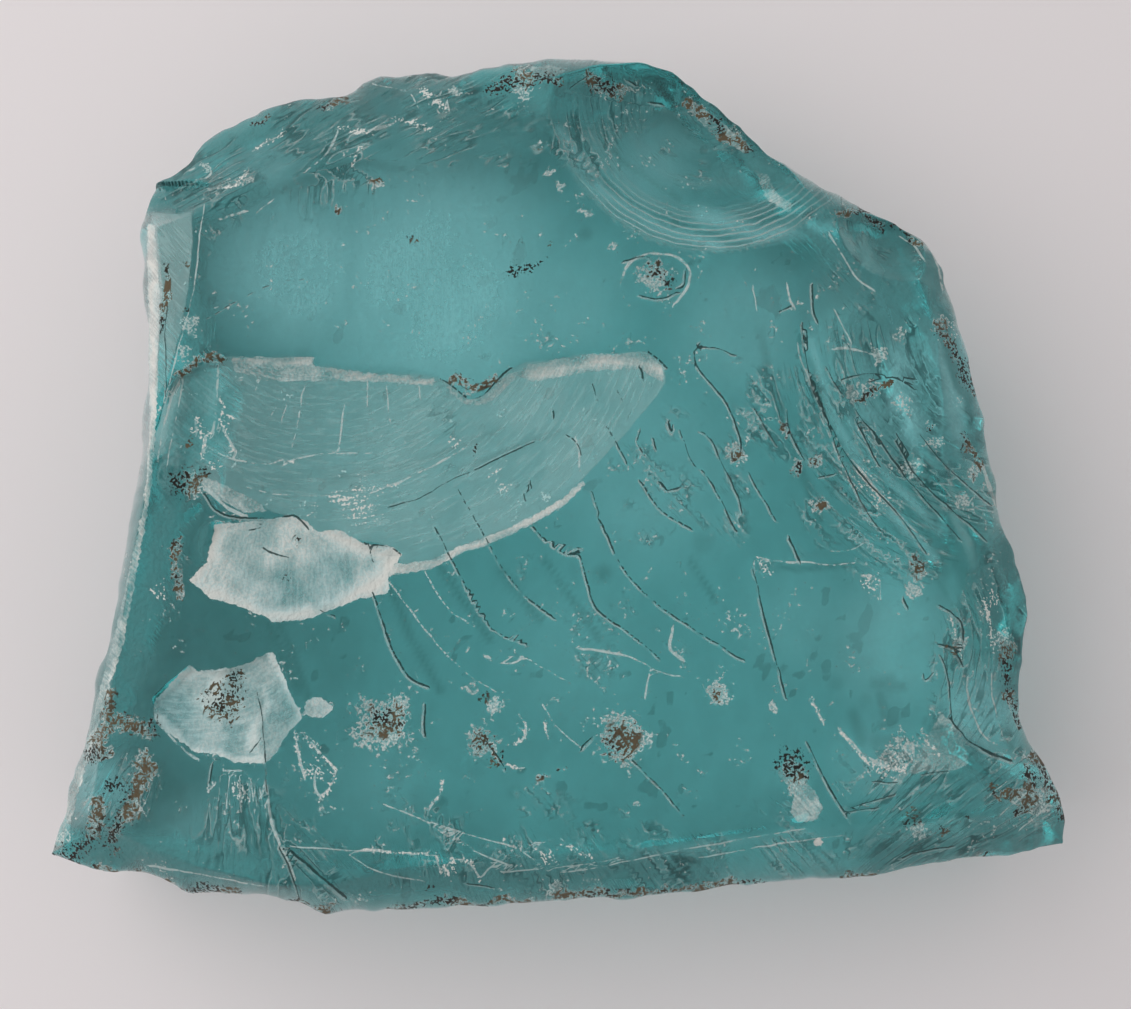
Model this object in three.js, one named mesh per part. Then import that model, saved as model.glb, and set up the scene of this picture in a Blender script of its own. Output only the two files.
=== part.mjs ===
import * as THREE from "three";

// One lump of raw obsidian: clear blue-green volcanic glass, broken on every side and all one piece.
// Millimetres, +Z up. It rests on its flat underside, with the origin under the middle of its box.

// Heights above the underside.
const CROWN_HEIGHT = 55;
const CROWN_FALL_RIGHT = 2.5;
const CROWN_FALL_FRONT = 2;
const HALF_WIDTH = 90;
const HALF_DEPTH = 75;

// The widest line of the lump, where the upper faces meet the sides: [x, y, height] of each turn.
const LEFT_EDGE = [
  [-93.5, -68, 30], [-90.5, -56.5, 30], [-87.5, -46.5, 29], [-85.5, -34.5, 28], [-83, -25, 27],
  [-81, -13.5, 26], [-79.5, -3, 26], [-78.5, 12, 26], [-78, 26, 26], [-79.5, 42, 27], [-79, 51.5, 29],
  [-76, 57, 32],
];
const REAR_EDGE = [
  [-76, 57, 32], [-71.5, 59, 35], [-66, 63.5, 37], [-59.5, 67.5, 38], [-53, 70, 38], [-48, 71.5, 38],
  [-39, 72.5, 38], [-36.5, 74.5, 38], [-31, 76, 38], [-23.5, 76, 39], [-20.5, 75.5, 39],
  [-17, 76.5, 38], [-7, 78.5, 37], [2, 79, 36], [12, 78.5, 36], [20, 77, 37], [28, 71, 39],
  [33.5, 64.5, 40], [45, 56, 40], [53.5, 51.5, 39], [66.5, 45.5, 37],
];
const RIGHT_EDGE = [
  [91.5, -66, 34], [92, -61.5, 35], [90, -56, 36], [87, -50, 37], [83.5, -43.5, 38], [83.5, -38, 38],
  [84.5, -21, 38], [82.5, -14, 38], [80, -5, 39], [77.5, 8.5, 40], [75, 21, 40], [72, 32, 40],
  [69, 42, 38], [66.5, 45.5, 37],
];
const FRONT_EDGE = [
  [-93.5, -68, 30], [-84, -70.5, 33], [-73.5, -71.5, 36], [-68, -73.5, 37], [-59, -74.5, 38],
  [-47, -75.5, 39], [-42.5, -77, 40], [-29.5, -77, 41], [-0.5, -75, 42], [14.5, -74.5, 42],
  [36.5, -72, 41], [56.5, -71, 40], [67, -69, 38], [81, -67.5, 36], [91.5, -66, 34],
];

// The rim of the broad upper face. Between it and the widest line the lump falls away in bevels.
const RIM = [
  [-72, 44.5], [-70.5, 32.5], [-71, 15], [-71.5, -1], [-75.5, -22], [-80, -44], [-83, -60],
  [-72.5, -65], [-62, -68.5], [-50, -71], [-39.5, -71], [-28.5, -68.5], [-7.5, -66.5], [14, -65],
  [42.5, -61], [59, -60.5], [76, -59], [78, -55], [73.5, -51.5], [68, -45.5], [66.5, -32.5],
  [67.5, -22], [68, -11.5], [67.5, 0.5], [67, 13], [66.5, 24], [64, 33], [61.5, 38.5],
  [53.5, 43.5], [43, 49], [30.5, 58], [23.5, 66], [14.5, 71], [0, 70], [-2, 57], [-14, 55.5],
  [-19.5, 58.5], [-27, 54.5], [-35, 56], [-46.5, 52.5], [-56, 51], [-63, 46.5],
];
const BEVEL_BULGE = 0.6;

// Slow swells of the broken face: heights in millimetres, and turns of each wave along x and y.
const SWELLS = [
  { height: 0.35, alongX: 0.071, alongY: 0.043, phase: 0.6 },
  { height: 0.25, alongX: -0.052, alongY: 0.118, phase: 2.1 },
  { height: 0.15, alongX: 0.19, alongY: 0.16, phase: 0 },
];

// Slanted facets: the upper face falls away from each crease, within the area that it bounds.
const FACETS = [
  {
    crease: [
      [-62, 52], [-63, 47.5], [-64, 42.5], [-64.5, 34], [-66, 26], [-67.5, 19.5], [-70, 9], [-74, -2],
    ],
    far: [[-90, -2], [-90, 60]],
    slope: 0.55,
  },
  {
    crease: [
      [-84, -12], [-65, -18.5], [-58, -22.5], [-50, -26], [-40.5, -24], [-29.5, -21], [-45, -42.5],
      [-51.5, -49], [-51, -55.5], [-50, -62], [-44, -85],
    ],
    far: [[-110, -85], [-110, -12]],
    slope: 0.24,
  },
];

// Conchoidal scoops struck from the rear rim: centre, reach, how deep they cut at the centre, ripples.
const SCOOPS = [
  { x: 27, y: 69, reach: 29.5, floor: 39.5, ripples: 4, rippleDepth: 0.35 },
  { x: 61, y: 46, reach: 12, floor: 42, ripples: 2, rippleDepth: 0.25 },
];

// Flake scars on the upper face. Each is deepest under its ledge and runs out at its feather edge.
const SCARS = [
  {
    ledge: [
      [-66.5, 17], [-63, 19.5], [-58.5, 21], [-43.5, 21], [-41, 18.5], [-26, 18], [-19.5, 16],
      [-16.5, 13.5], [-12.5, 14.5], [-9, 18.5], [-6, 19.5], [4.5, 21.5], [15, 22], [18, 19.5], [19, 16.5],
    ],
    feather: [
      [14, 8], [9, 2], [3.5, -2.5], [-5, -7.5], [-12, -11], [-19.5, -13], [-28, -13.5], [-35.5, -11.5],
      [-42.5, -10], [-50.5, -6.5], [-61, -1], [-67, 0.5], [-70, 2.5], [-70.5, 6], [-68.5, 13.5],
    ],
    depth: 2.6,
  },
  {
    ledge: [[-60.5, -9], [-47, -7.5], [-38.5, -10], [-33.5, -12.5], [-27.5, -14]],
    feather: [
      [-30, -17.5], [-29.5, -21], [-40.5, -24], [-50, -26], [-58, -22.5], [-65, -18.5], [-62, -15.5],
    ],
    depth: 1.6,
  },
  {
    ledge: [[-71, -39], [-64.5, -33.5], [-59, -34.5], [-51, -31], [-45, -42.5]],
    feather: [[-51, -49.5], [-57.5, -50.5], [-66, -47], [-71, -43]],
    depth: 1.8,
  },
  {
    ledge: [[49, -43.5], [53, -43.5], [59.5, -45.5], [68, -43.5]],
    feather: [[67.5, -52], [62.5, -52.5], [55, -51.5], [53, -48.5]],
    depth: 1.6,
  },
];
const LEDGE_WIDTH = 1;

// How steeply a scoop's bowl rises from its strike point.
const SCOOP_BOWL = 1.5;

// Pits knocked into the upper face: [x, y, radius, depth]. Each has a flat middle and a low lip.
const PITS = [
  [17, 34.5, 5.5, 1.4], [-32, -42.5, 6, 1.5], [-13.5, -48, 3.8, 1.1], [-13, -38.5, 3.6, 0.9],
  [12, -46.5, 5.5, 1.2], [26.5, -39, 3.6, 1], [40, -54.5, 6, 1.5], [54, 15, 4.2, 1],
  [63.5, -16.5, 3.4, 1], [-65, -1.5, 5, 1.4], [31, 3.5, 3, 0.8],
];
const PIT_MIDDLE = 0.2;
const PIT_LIP = 0.2;
const PIT_LIP_AT = 1.05;
const PIT_LIP_SHARPNESS = 30;

// Grooves and hackle ridges: a line, half its width, and its depth (negative stands up as a ridge).
const GROOVES = [
  { line: [[43, 26.5], [44, 17], [48.5, 8], [53, 1], [58.5, -5.5]], width: 2.6, depth: 1 },
  { line: [[20.5, 5.5], [27, -3], [32.5, -12], [35.5, -24], [39, -38.5]], width: 2.2, depth: 0.7 },
  { line: [[56, 26], [61, 11], [67, -4], [73, -19], [77, -34]], width: 2.8, depth: -0.6 },
  { line: [[63, 26], [69, 8], [75, -10], [80, -26]], width: 2.8, depth: -0.7 },
  { line: [[34.5, -14.5], [39.5, -15.5], [47, -16.5], [50.5, -15.5]], width: 2.4, depth: 0.7 },
  { line: [[68, -45.5], [72, -48.5], [80, -53], [88, -55]], width: 3, depth: -1.5 },
];

// The underside is drawn in from the widest line, most of all under the pointed corners.
const UNDERCUT = 2.2;
const UNDERCUT_WAVES = [
  { depth: 0.7, alongX: 0.09, alongY: 0.11 },
  { depth: 0.7, alongX: 0.13, alongY: -0.07 },
];
const UNDERCUT_BEND = 1.7;
const CORNER_UNDERCUTS = [
  { x: -96, y: -69, reach: 34, depth: 3.5 },
  { x: 95, y: -66, reach: 30, depth: 3 },
  { x: -78, y: 56, reach: 26, depth: 2.5 },
  { x: 69, y: 46, reach: 24, depth: 2 },
  { x: -79, y: 20, reach: 42, depth: 5.5 },
];

// Shell-shaped breaks of the sides: middle, reach and depth. They start under the lip, and two of
// them meet in a sharp ridge.
const SIDE_LIP = 0.25;
const SIDE_HOLLOWS = [
  { x: -72, y: -73, z: 18, reach: 24, depth: 4.5 },
  { x: -32, y: -77, z: 22, reach: 27, depth: 5 },
  { x: 10, y: -75, z: 17, reach: 26, depth: 4.5 },
  { x: 46, y: -72, z: 23, reach: 22, depth: 4 },
  { x: 74, y: -68, z: 16, reach: 18, depth: 3.5 },
  { x: 89, y: -50, z: 20, reach: 19, depth: 3.5 },
  { x: 84, y: -16, z: 22, reach: 25, depth: 4.5 },
  { x: 76, y: 17, z: 17, reach: 20, depth: 4 },
  { x: 69, y: 39, z: 24, reach: 13, depth: 3 },
  { x: 48, y: 54, z: 19, reach: 22, depth: 4.5 },
  { x: 22, y: 76, z: 22, reach: 17, depth: 4 },
  { x: -8, y: 78, z: 16, reach: 26, depth: 5.5 },
  { x: -38, y: 74, z: 22, reach: 19, depth: 4.5 },
  { x: -64, y: 64, z: 16, reach: 20, depth: 4.5 },
  { x: -80, y: 42, z: 12, reach: 20, depth: 4 },
  { x: -80, y: 8, z: 6, reach: 28, depth: 5.5 },
  { x: -84, y: -28, z: 12, reach: 26, depth: 4.5 },
  { x: -90, y: -56, z: 14, reach: 20, depth: 3.5 },
];

// How finely the surface is divided.
const CELLS_ACROSS = 60;
const CELLS_DEEP = 50;
const SIDE_ROWS = 8;
const EDGE_CROWDING = 0.55;
const CURVE_DIVISIONS = 1000;

const clamp = THREE.MathUtils.clamp;
const mix = THREE.MathUtils.lerp;
const smooth = THREE.MathUtils.smoothstep;

// The nearest point of a line through [x, y] or [x, y, height] points, closed on itself or open.
function nearest(line, x, y, closed = false) {
  let best = { distance: Infinity, height: 0 };
  const last = closed ? line.length : line.length - 1;
  for (let i = 0; i < last; i++) {
    const a = line[i];
    const b = line[(i + 1) % line.length];
    const dx = b[0] - a[0];
    const dy = b[1] - a[1];
    const t = clamp(((x - a[0]) * dx + (y - a[1]) * dy) / (dx * dx + dy * dy || 1), 0, 1);
    const distance = Math.hypot(x - a[0] - t * dx, y - a[1] - t * dy);
    if (distance < best.distance) {
      best = { distance, height: mix(a[2] ?? 0, b[2] ?? 0, t) };
    }
  }
  return best;
}

function inside(polygon, x, y) {
  let odd = false;
  for (let i = 0, j = polygon.length - 1; i < polygon.length; j = i++) {
    const [ax, ay] = polygon[i];
    const [bx, by] = polygon[j];
    if (ay > y !== by > y && x < ((bx - ax) * (y - ay)) / (by - ay) + ax) {
      odd = !odd;
    }
  }
  return odd;
}

function swell(x, y) {
  let height = 0;
  for (const wave of SWELLS) {
    height += wave.height * Math.sin(wave.alongX * x + wave.alongY * y + wave.phase);
  }
  return height;
}

function crownHeight(x, y) {
  const right = Math.max(0, x / HALF_WIDTH);
  const front = Math.max(0, -y / HALF_DEPTH);
  let z = CROWN_HEIGHT - CROWN_FALL_RIGHT * right * right - CROWN_FALL_FRONT * front * front;
  for (const facet of FACETS) {
    if (inside([...facet.crease, ...facet.far], x, y)) {
      z -= facet.slope * nearest(facet.crease, x, y).distance;
    }
  }
  return z + swell(x, y);
}

function scoopHeight(scoop, x, y) {
  const out = Math.hypot(x - scoop.x, y - scoop.y) / scoop.reach;
  const crown = crownHeight(x, y);
  const wave = scoop.rippleDepth * Math.sin(2 * Math.PI * scoop.ripples * out);
  const bowl = (crown - scoop.floor) * Math.pow(out, SCOOP_BOWL);
  return scoop.floor + bowl + wave * Math.min(1, 3 * out);
}

function scarDepth(scar, x, y) {
  if (!inside([...scar.ledge, ...scar.feather], x, y)) {
    return 0;
  }
  const toLedge = nearest(scar.ledge, x, y).distance;
  const toFeather = nearest(scar.feather, x, y).distance;
  return scar.depth * smooth(toLedge, 0, LEDGE_WIDTH) * (toFeather / (toFeather + toLedge));
}

function pitDepth([px, py, radius, depth], x, y) {
  const out = Math.hypot(x - px, y - py) / radius;
  const lip = PIT_LIP * Math.exp(-PIT_LIP_SHARPNESS * (out - PIT_LIP_AT) ** 2);
  return depth * (1 - smooth(out, PIT_MIDDLE, 1) - lip);
}

function grooveDepth(groove, x, y) {
  const out = nearest(groove.line, x, y).distance / groove.width;
  return out < 1 ? groove.depth * (1 - out * out) ** 2 : 0;
}

// Height of the upper surface over a point inside the widest line.
function upperHeight(outline, x, y) {
  const edge = nearest(outline, x, y, true);
  const toRim = nearest(RIM, x, y, true).distance;
  const rise = inside(RIM, x, y) ? 1 : edge.distance / (edge.distance + toRim || 1);
  let z = mix(edge.height, crownHeight(x, y), Math.pow(rise, BEVEL_BULGE));
  for (const scoop of SCOOPS) {
    z = Math.min(z, scoopHeight(scoop, x, y));
  }
  let cut = 0;
  for (const scar of SCARS) {
    cut += scarDepth(scar, x, y);
  }
  for (const pit of PITS) {
    cut += pitDepth(pit, x, y);
  }
  for (const groove of GROOVES) {
    cut += grooveDepth(groove, x, y);
  }
  return Math.max(edge.height, z - cut * rise);
}

// A point of the side, from the widest line (down = 0) to the underside (down = 1).
function sidePoint([x, y, height], down) {
  const away = Math.hypot(x, y);
  let inset = UNDERCUT;
  for (const wave of UNDERCUT_WAVES) {
    inset += wave.depth * Math.sin(wave.alongX * x + wave.alongY * y);
  }
  for (const corner of CORNER_UNDERCUTS) {
    const out = Math.hypot(x - corner.x, y - corner.y) / corner.reach;
    inset += corner.depth * Math.exp(-2 * out * out);
  }
  inset *= Math.pow(down, UNDERCUT_BEND);
  const z = height * (1 - down);
  let deepest = 0;
  for (const hollow of SIDE_HOLLOWS) {
    const out = Math.hypot(x - hollow.x, y - hollow.y, z - hollow.z) / hollow.reach;
    deepest = Math.max(deepest, hollow.depth * (1 - out * out));
  }
  inset += deepest * smooth(down, 0, SIDE_LIP);
  const keep = 1 - inset / away;
  return [x * keep, y * keep, z];
}

// Points along an edge, crowded towards both ends so that the bevels get small faces.
function pointsAlong(edge, cells) {
  const corners = edge.map(([x, y, z]) => new THREE.Vector3(x, y, z));
  const curve = new THREE.CatmullRomCurve3(corners, false, "centripetal");
  curve.arcLengthDivisions = CURVE_DIVISIONS;
  const points = [];
  for (let i = 0; i <= cells; i++) {
    const t = i / cells;
    const crowded = t - (EDGE_CROWDING * Math.sin(2 * Math.PI * t)) / (2 * Math.PI);
    points.push(curve.getPointAt(clamp(crowded, 0, 1)).toArray());
  }
  return points;
}

// The upper surface fills the widest line with a blend of its four edges, raised to its height.
function buildChunk() {
  const left = pointsAlong(LEFT_EDGE, CELLS_DEEP);
  const right = pointsAlong(RIGHT_EDGE, CELLS_DEEP);
  const rear = pointsAlong(REAR_EDGE, CELLS_ACROSS);
  const front = pointsAlong(FRONT_EDGE, CELLS_ACROSS);
  const outline = [
    ...front.slice(0, -1), ...right.slice(0, -1), ...rear.slice(1).reverse(), ...left.slice(1).reverse(),
  ];
  const positions = [];
  const faces = [];
  const index = (i, j) => j * (CELLS_ACROSS + 1) + i;

  // One coordinate of the blend: front to rear, plus left to right, less the blend of the corners.
  const blend = (i, j, k) => {
    const u = i / CELLS_ACROSS;
    const v = j / CELLS_DEEP;
    const frontCorners = mix(front[0][k], front[CELLS_ACROSS][k], u);
    const rearCorners = mix(rear[0][k], rear[CELLS_ACROSS][k], u);
    const frontToRear = mix(front[i][k], rear[i][k], v);
    const leftToRight = mix(left[j][k], right[j][k], u);
    return frontToRear + leftToRight - mix(frontCorners, rearCorners, v);
  };

  const edgePoint = (i, j) => {
    if (j === 0) {
      return front[i];
    }
    if (j === CELLS_DEEP) {
      return rear[i];
    }
    if (i === 0) {
      return left[j];
    }
    return i === CELLS_ACROSS ? right[j] : null;
  };

  for (let j = 0; j <= CELLS_DEEP; j++) {
    for (let i = 0; i <= CELLS_ACROSS; i++) {
      const onEdge = edgePoint(i, j);
      if (onEdge) {
        positions.push(...onEdge);
      } else {
        const x = blend(i, j, 0);
        const y = blend(i, j, 1);
        positions.push(x, y, upperHeight(outline, x, y));
      }
    }
  }

  // Each cell is cut from the side of its nearest corner, so that no corner is a flat sliver.
  for (let j = 0; j < CELLS_DEEP; j++) {
    for (let i = 0; i < CELLS_ACROSS; i++) {
      const a = index(i, j);
      const b = index(i + 1, j);
      const c = index(i + 1, j + 1);
      const d = index(i, j + 1);
      if (i < CELLS_ACROSS / 2 === j < CELLS_DEEP / 2) {
        faces.push(a, b, c, a, c, d);
      } else {
        faces.push(a, b, d, b, c, d);
      }
    }
  }

  // The ring of edge points, counter-clockwise seen from above, carried down the sides row by row.
  let ring = [];
  for (let i = 0; i < CELLS_ACROSS; i++) {
    ring.push(index(i, 0));
  }
  for (let j = 0; j < CELLS_DEEP; j++) {
    ring.push(index(CELLS_ACROSS, j));
  }
  for (let i = CELLS_ACROSS; i > 0; i--) {
    ring.push(index(i, CELLS_DEEP));
  }
  for (let j = CELLS_DEEP; j > 0; j--) {
    ring.push(index(0, j));
  }
  const edgePoints = ring.map((k) => positions.slice(3 * k, 3 * k + 3));
  for (let row = 1; row <= SIDE_ROWS; row++) {
    const next = edgePoints.map((point) => {
      positions.push(...sidePoint(point, row / SIDE_ROWS));
      return positions.length / 3 - 1;
    });
    for (let k = 0; k < ring.length; k++) {
      const m = (k + 1) % ring.length;
      faces.push(ring[k], next[k], next[m], ring[k], next[m], ring[m]);
    }
    ring = next;
  }
  const middle = positions.length / 3;
  positions.push(0, 0, 0);
  for (let k = 0; k < ring.length; k++) {
    faces.push(ring[(k + 1) % ring.length], ring[k], middle);
  }

  const geometry = new THREE.BufferGeometry();
  geometry.setAttribute("position", new THREE.Float32BufferAttribute(positions, 3));
  geometry.setIndex(faces);
  geometry.computeBoundingBox();
  const box = geometry.boundingBox;
  geometry.translate(-(box.min.x + box.max.x) / 2, -(box.min.y + box.max.y) / 2, 0);
  geometry.computeVertexNormals();
  return geometry;
}

const glass = new THREE.MeshStandardMaterial({
  color: 0x5b9a98,
  roughness: 0.08,
  metalness: 0,
  flatShading: true,
});
const chunk = new THREE.Mesh(buildChunk(), glass);
chunk.name = "glass_chunk";

const part = new THREE.Group();
part.add(chunk);

export default part;
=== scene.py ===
"""Raw obsidian: one broken lump of clear blue-green volcanic glass, seen from above on a pale floor.

The lump is one closed surface. Its broad upper face, its sides and its flat underside are worked out
from the same millimetre sizes as the solid that it stands for. Places of the small marks on the upper
face are pixels of the photograph, which PhotoView turns into places on the glass.
"""
import logging
from dataclasses import dataclass, field
from enum import Enum
from math import cos, radians, sin
from typing import Any, Sequence

import bpy
import numpy as np
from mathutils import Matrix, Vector


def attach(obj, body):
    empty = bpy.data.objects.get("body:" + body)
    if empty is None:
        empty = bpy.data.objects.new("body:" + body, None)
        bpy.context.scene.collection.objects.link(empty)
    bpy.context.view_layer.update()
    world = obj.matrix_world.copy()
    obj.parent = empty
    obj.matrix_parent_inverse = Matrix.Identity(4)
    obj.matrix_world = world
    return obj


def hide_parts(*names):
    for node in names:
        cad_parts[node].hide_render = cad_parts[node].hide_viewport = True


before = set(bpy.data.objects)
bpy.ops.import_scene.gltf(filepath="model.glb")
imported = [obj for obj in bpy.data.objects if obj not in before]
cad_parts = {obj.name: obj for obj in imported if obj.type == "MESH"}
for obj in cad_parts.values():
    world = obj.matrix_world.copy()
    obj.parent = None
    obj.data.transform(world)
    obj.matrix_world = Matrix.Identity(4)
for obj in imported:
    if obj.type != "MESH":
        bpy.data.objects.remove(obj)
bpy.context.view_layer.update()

MM = 0.001
NODE = "glass_chunk"
LOG = logging.getLogger("raw_obsidian")

STORED = (
    "across", "along", "strong", "crack_side", "crack_near", "stroke", "ridge_side", "ridge_near", "mottle",
    "flake", "flake_white", "thin", "film", "film_white", "rim", "milk", "milk_white", "crust",
    "dirt", "worm", "painted_shade", "glint", "hackle", "fan", "dust_and_sheen", "clear", "shade", "fleck", "upper",
)
Array = np.ndarray
Pixel = tuple[float, float]
Place = tuple[float, ...]
Colour = tuple[float, ...]


def smooth(value: Array, low: float, high: float) -> Array:
    """Rise from 0 to 1 between low and high along 3t squared minus 2t cubed."""
    t = np.clip((value - low) / (high - low), 0.0, 1.0)
    return t * t * (3.0 - 2.0 * t)


def grain(x: Array, y: Array, size: float, seed: float) -> Array:
    """Give smooth random values from -1 to 1 that change over the given size.

    Each corner of a square lattice gets a random value, and a place takes the smooth blend of its four.

    Args:
        x: first coordinate of each place.
        y: second coordinate of each place.
        size: side of a lattice square, in the unit of x and y.
        seed: number that makes one pattern differ from another.

    Returns:
        One value for each place.
    """
    column, row = np.floor(x / size), np.floor(y / size)
    across, up = smooth(x / size - column, 0.0, 1.0), smooth(y / size - row, 0.0, 1.0)

    def corner(a: Array, b: Array) -> Array:
        """Give the random value of a lattice corner."""
        turned = np.sin(a * 127.1 + b * 311.7 + seed * 74.7) * 43758.5453
        return turned - np.floor(turned)

    low = corner(column, row) * (1 - across) + corner(column + 1, row) * across
    high = corner(column, row + 1) * (1 - across) + corner(column + 1, row + 1) * across
    return 2.0 * (low * (1 - up) + high * up) - 1.0


def rough(x: Array, y: Array, size: float, seed: float, octaves: int = 3) -> Array:
    """Add grain of halving size and height: broken-looking values from about -1 to 1."""
    total = sum(grain(x, y, size / 2**octave, seed + octave) / 2**octave for octave in range(octaves))
    return total / (2.0 - 0.5 ** (octaves - 1))


def blotches(u: Array, v: Array, size: float, seed: float, octaves: int = 3) -> Array:
    """Give random blotches of about the given size, from about 0 to 1."""
    return 0.5 + 0.45 * rough(u, v, size, seed, octaves)


def moved(u: Array, v: Array, reach: float, size: float, seed: float,
          octaves: int = 3) -> tuple[Array, Array]:
    """Move places at random by up to about the reach, which makes what is drawn at them ragged."""
    off_u, off_v = rough(u, v, size, seed, octaves), rough(u, v, size, seed + 10.0, octaves)
    return u + reach * off_u, v + reach * off_v


def eased(line: Sequence[Place], rounds: int = 2) -> Array:
    """Cut the corners of a line at their quarters, so that it bends in curves between its two ends.

    Args:
        line: corners of the line.
        rounds: how many times the corners are cut.

    Returns:
        The corners of the eased line.
    """
    corners = np.array(line, dtype=float)
    for _ in range(rounds if len(line) > 2 else 0):
        early, late = corners[:-1] * 0.75 + corners[1:] * 0.25, corners[:-1] * 0.25 + corners[1:] * 0.75
        cut = np.stack([early, late], axis=1)
        corners = np.vstack([corners[:1], cut.reshape(-1, 2)[1:-1], corners[-1:]])
    return corners


@dataclass
class Nearest:
    """What is nearest of a line, for each place: distance, height there, and signed distance."""

    distance: Array
    height: Array
    side: Array


def nearest_on(line: Sequence[Place], x: Array, y: Array, closed: bool = False) -> Nearest:
    """Find the nearest point of a line for each place.

    Each stretch of the line is tried in turn, for all the places at once: the foot of the
    perpendicular, held between the stretch's two ends.

    Args:
        line: corners of the line, each (x, y) or (x, y, height).
        x: first coordinate of each place.
        y: second coordinate of each place.
        closed: whether the last corner runs back to the first.

    Returns:
        The distances, the heights, and the distances with the sign of the line's side.
    """
    best = Nearest(np.full(x.shape, 1e9), np.zeros(x.shape), np.full(x.shape, 1e9))
    corners = list(line) + ([line[0]] if closed else [])
    for a, b in zip(corners[:-1], corners[1:]):
        dx, dy = b[0] - a[0], b[1] - a[1]
        t = np.clip(((x - a[0]) * dx + (y - a[1]) * dy) / (dx * dx + dy * dy + 1e-12), 0.0, 1.0)
        off_x, off_y = x - a[0] - t * dx, y - a[1] - t * dy
        distance = np.hypot(off_x, off_y)
        closer = distance < best.distance
        best.distance[closer] = distance[closer]
        if len(a) > 2:
            best.height[closer] = (a[2] + (b[2] - a[2]) * t)[closer]
        best.side[closer] = (np.where(dx * off_y - dy * off_x < 0, -1.0, 1.0) * distance)[closer]
    return best


def inside(polygon: Sequence[Place], x: Array, y: Array) -> Array:
    """Tell for each place whether it is inside a polygon, by counting the sides that a ray crosses.

    Args:
        polygon: corners of the polygon.
        x: first coordinate of each place.
        y: second coordinate of each place.

    Returns:
        One true or false for each place.
    """
    odd = np.zeros(x.shape, dtype=bool)
    for a, b in zip(polygon, list(polygon[1:]) + [polygon[0]]):
        if a[1] == b[1]:
            continue
        spans = (a[1] > y) != (b[1] > y)
        odd ^= spans & (x < (b[0] - a[0]) * (y - a[1]) / (b[1] - a[1]) + a[0])
    return odd


@dataclass(frozen=True)
class PhotoView:
    """The photograph's camera, and the way from a place on the lump to a pixel of the photograph."""

    width: int = 1131
    height: int = 1009
    lens: float = 60.0
    sensor: float = 36.0
    distance: float = 358.0
    lean: float = radians(5.0)
    aim: tuple[float, float, float] = (1.0, -3.0, 25.0)

    def place(self) -> Array:
        """Give the camera's place in millimetres: back from its aim, leaning towards the front."""
        back = np.array([0.0, -sin(self.lean), cos(self.lean)])
        return np.array(self.aim) + self.distance * back

    def pixels(self, points: Array) -> Array:
        """Turn places into pixels of the photograph, through the pinhole at the camera's place.

        Args:
            points: (n, 3) places in millimetres.

        Returns:
            (n, 2) pixels, counted from the top left corner.
        """
        away = points - self.place()
        up = away @ np.array([0.0, cos(self.lean), sin(self.lean)])
        depth = away @ np.array([0.0, sin(self.lean), -cos(self.lean)])
        scale = self.lens / self.sensor * self.width
        return np.stack([self.width / 2 + scale * away[:, 0] / depth,
                         self.height / 2 - scale * up / depth], axis=1)


@dataclass(frozen=True)
class Facet:
    """A slanted face: it falls away from its crease, within the area that the crease and far bound."""

    crease: tuple[Place, ...]
    far: tuple[Place, ...]
    slope: float


@dataclass(frozen=True)
class Scoop:
    """A shell-shaped hollow struck from the rim, with round ripples about its strike point."""

    x: float
    y: float
    reach: float
    floor: float
    ripples: int
    ripple_depth: float


@dataclass(frozen=True)
class Scar:
    """A flake scar, deepest under its ledge and running out at its feather edge."""

    ledge: tuple[Place, ...]
    feather: tuple[Place, ...]
    depth: float


@dataclass(frozen=True)
class Groove:
    """A groove along a line, or a ridge where its depth is negative."""

    line: tuple[Place, ...]
    width: float
    depth: float


@dataclass(frozen=True)
class Wave:
    """A slow wave of the glass: its height, its radians per mm along x and along y, and its start."""

    height: float
    along_x: float
    along_y: float
    start: float = 0.0

    def at(self, x: Array, y: Array) -> Array:
        """Give the wave's height at each place."""
        return self.height * np.sin(self.along_x * x + self.along_y * y + self.start)


@dataclass(frozen=True)
class Hollow:
    """A round hollow or an extra undercut of the sides."""

    x: float
    y: float
    reach: float
    depth: float
    z: float = 0.0


@dataclass(frozen=True)
class Line:
    """A fine line on the upper face, in pixels of the photograph, its full width there and lift in mm."""

    pixels: tuple[Pixel, ...]
    width: float
    lift: float = 0.0


@dataclass(frozen=True)
class Spot:
    """A round place on the upper face: its middle and radius in pixels of the photograph."""

    u: float
    v: float
    radius: float
    strength: float


def path(*numbers: float) -> tuple[Pixel, ...]:
    """Pair up a row of numbers: the column and row of each pixel in turn."""
    return tuple(zip(numbers[::2], numbers[1::2]))


def lines(width: float, *rows: tuple[float, ...], lift: float = 0.0) -> tuple[Line, ...]:
    """Give lines of one width and lift, each along the path of a row of numbers."""
    return tuple(Line(path(*row), width, lift) for row in rows)


def spots(strength: float, *numbers: float) -> tuple[Spot, ...]:
    """Give spots of one strength from a row of numbers: the column, row and radius of each in turn."""
    return tuple(Spot(*spot, strength) for spot in zip(numbers[::3], numbers[1::3], numbers[2::3]))


class Spread(Enum):
    """How the streaks of a zone lie about its strike point."""

    RAYS = "rays"
    RINGS = "rings"


@dataclass(frozen=True)
class Strike:
    """A point that streaks or ripples spread from, and the outline that they fill, in pixels."""

    u: float
    v: float
    outline: tuple[Pixel, ...]
    spread: Spread


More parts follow.
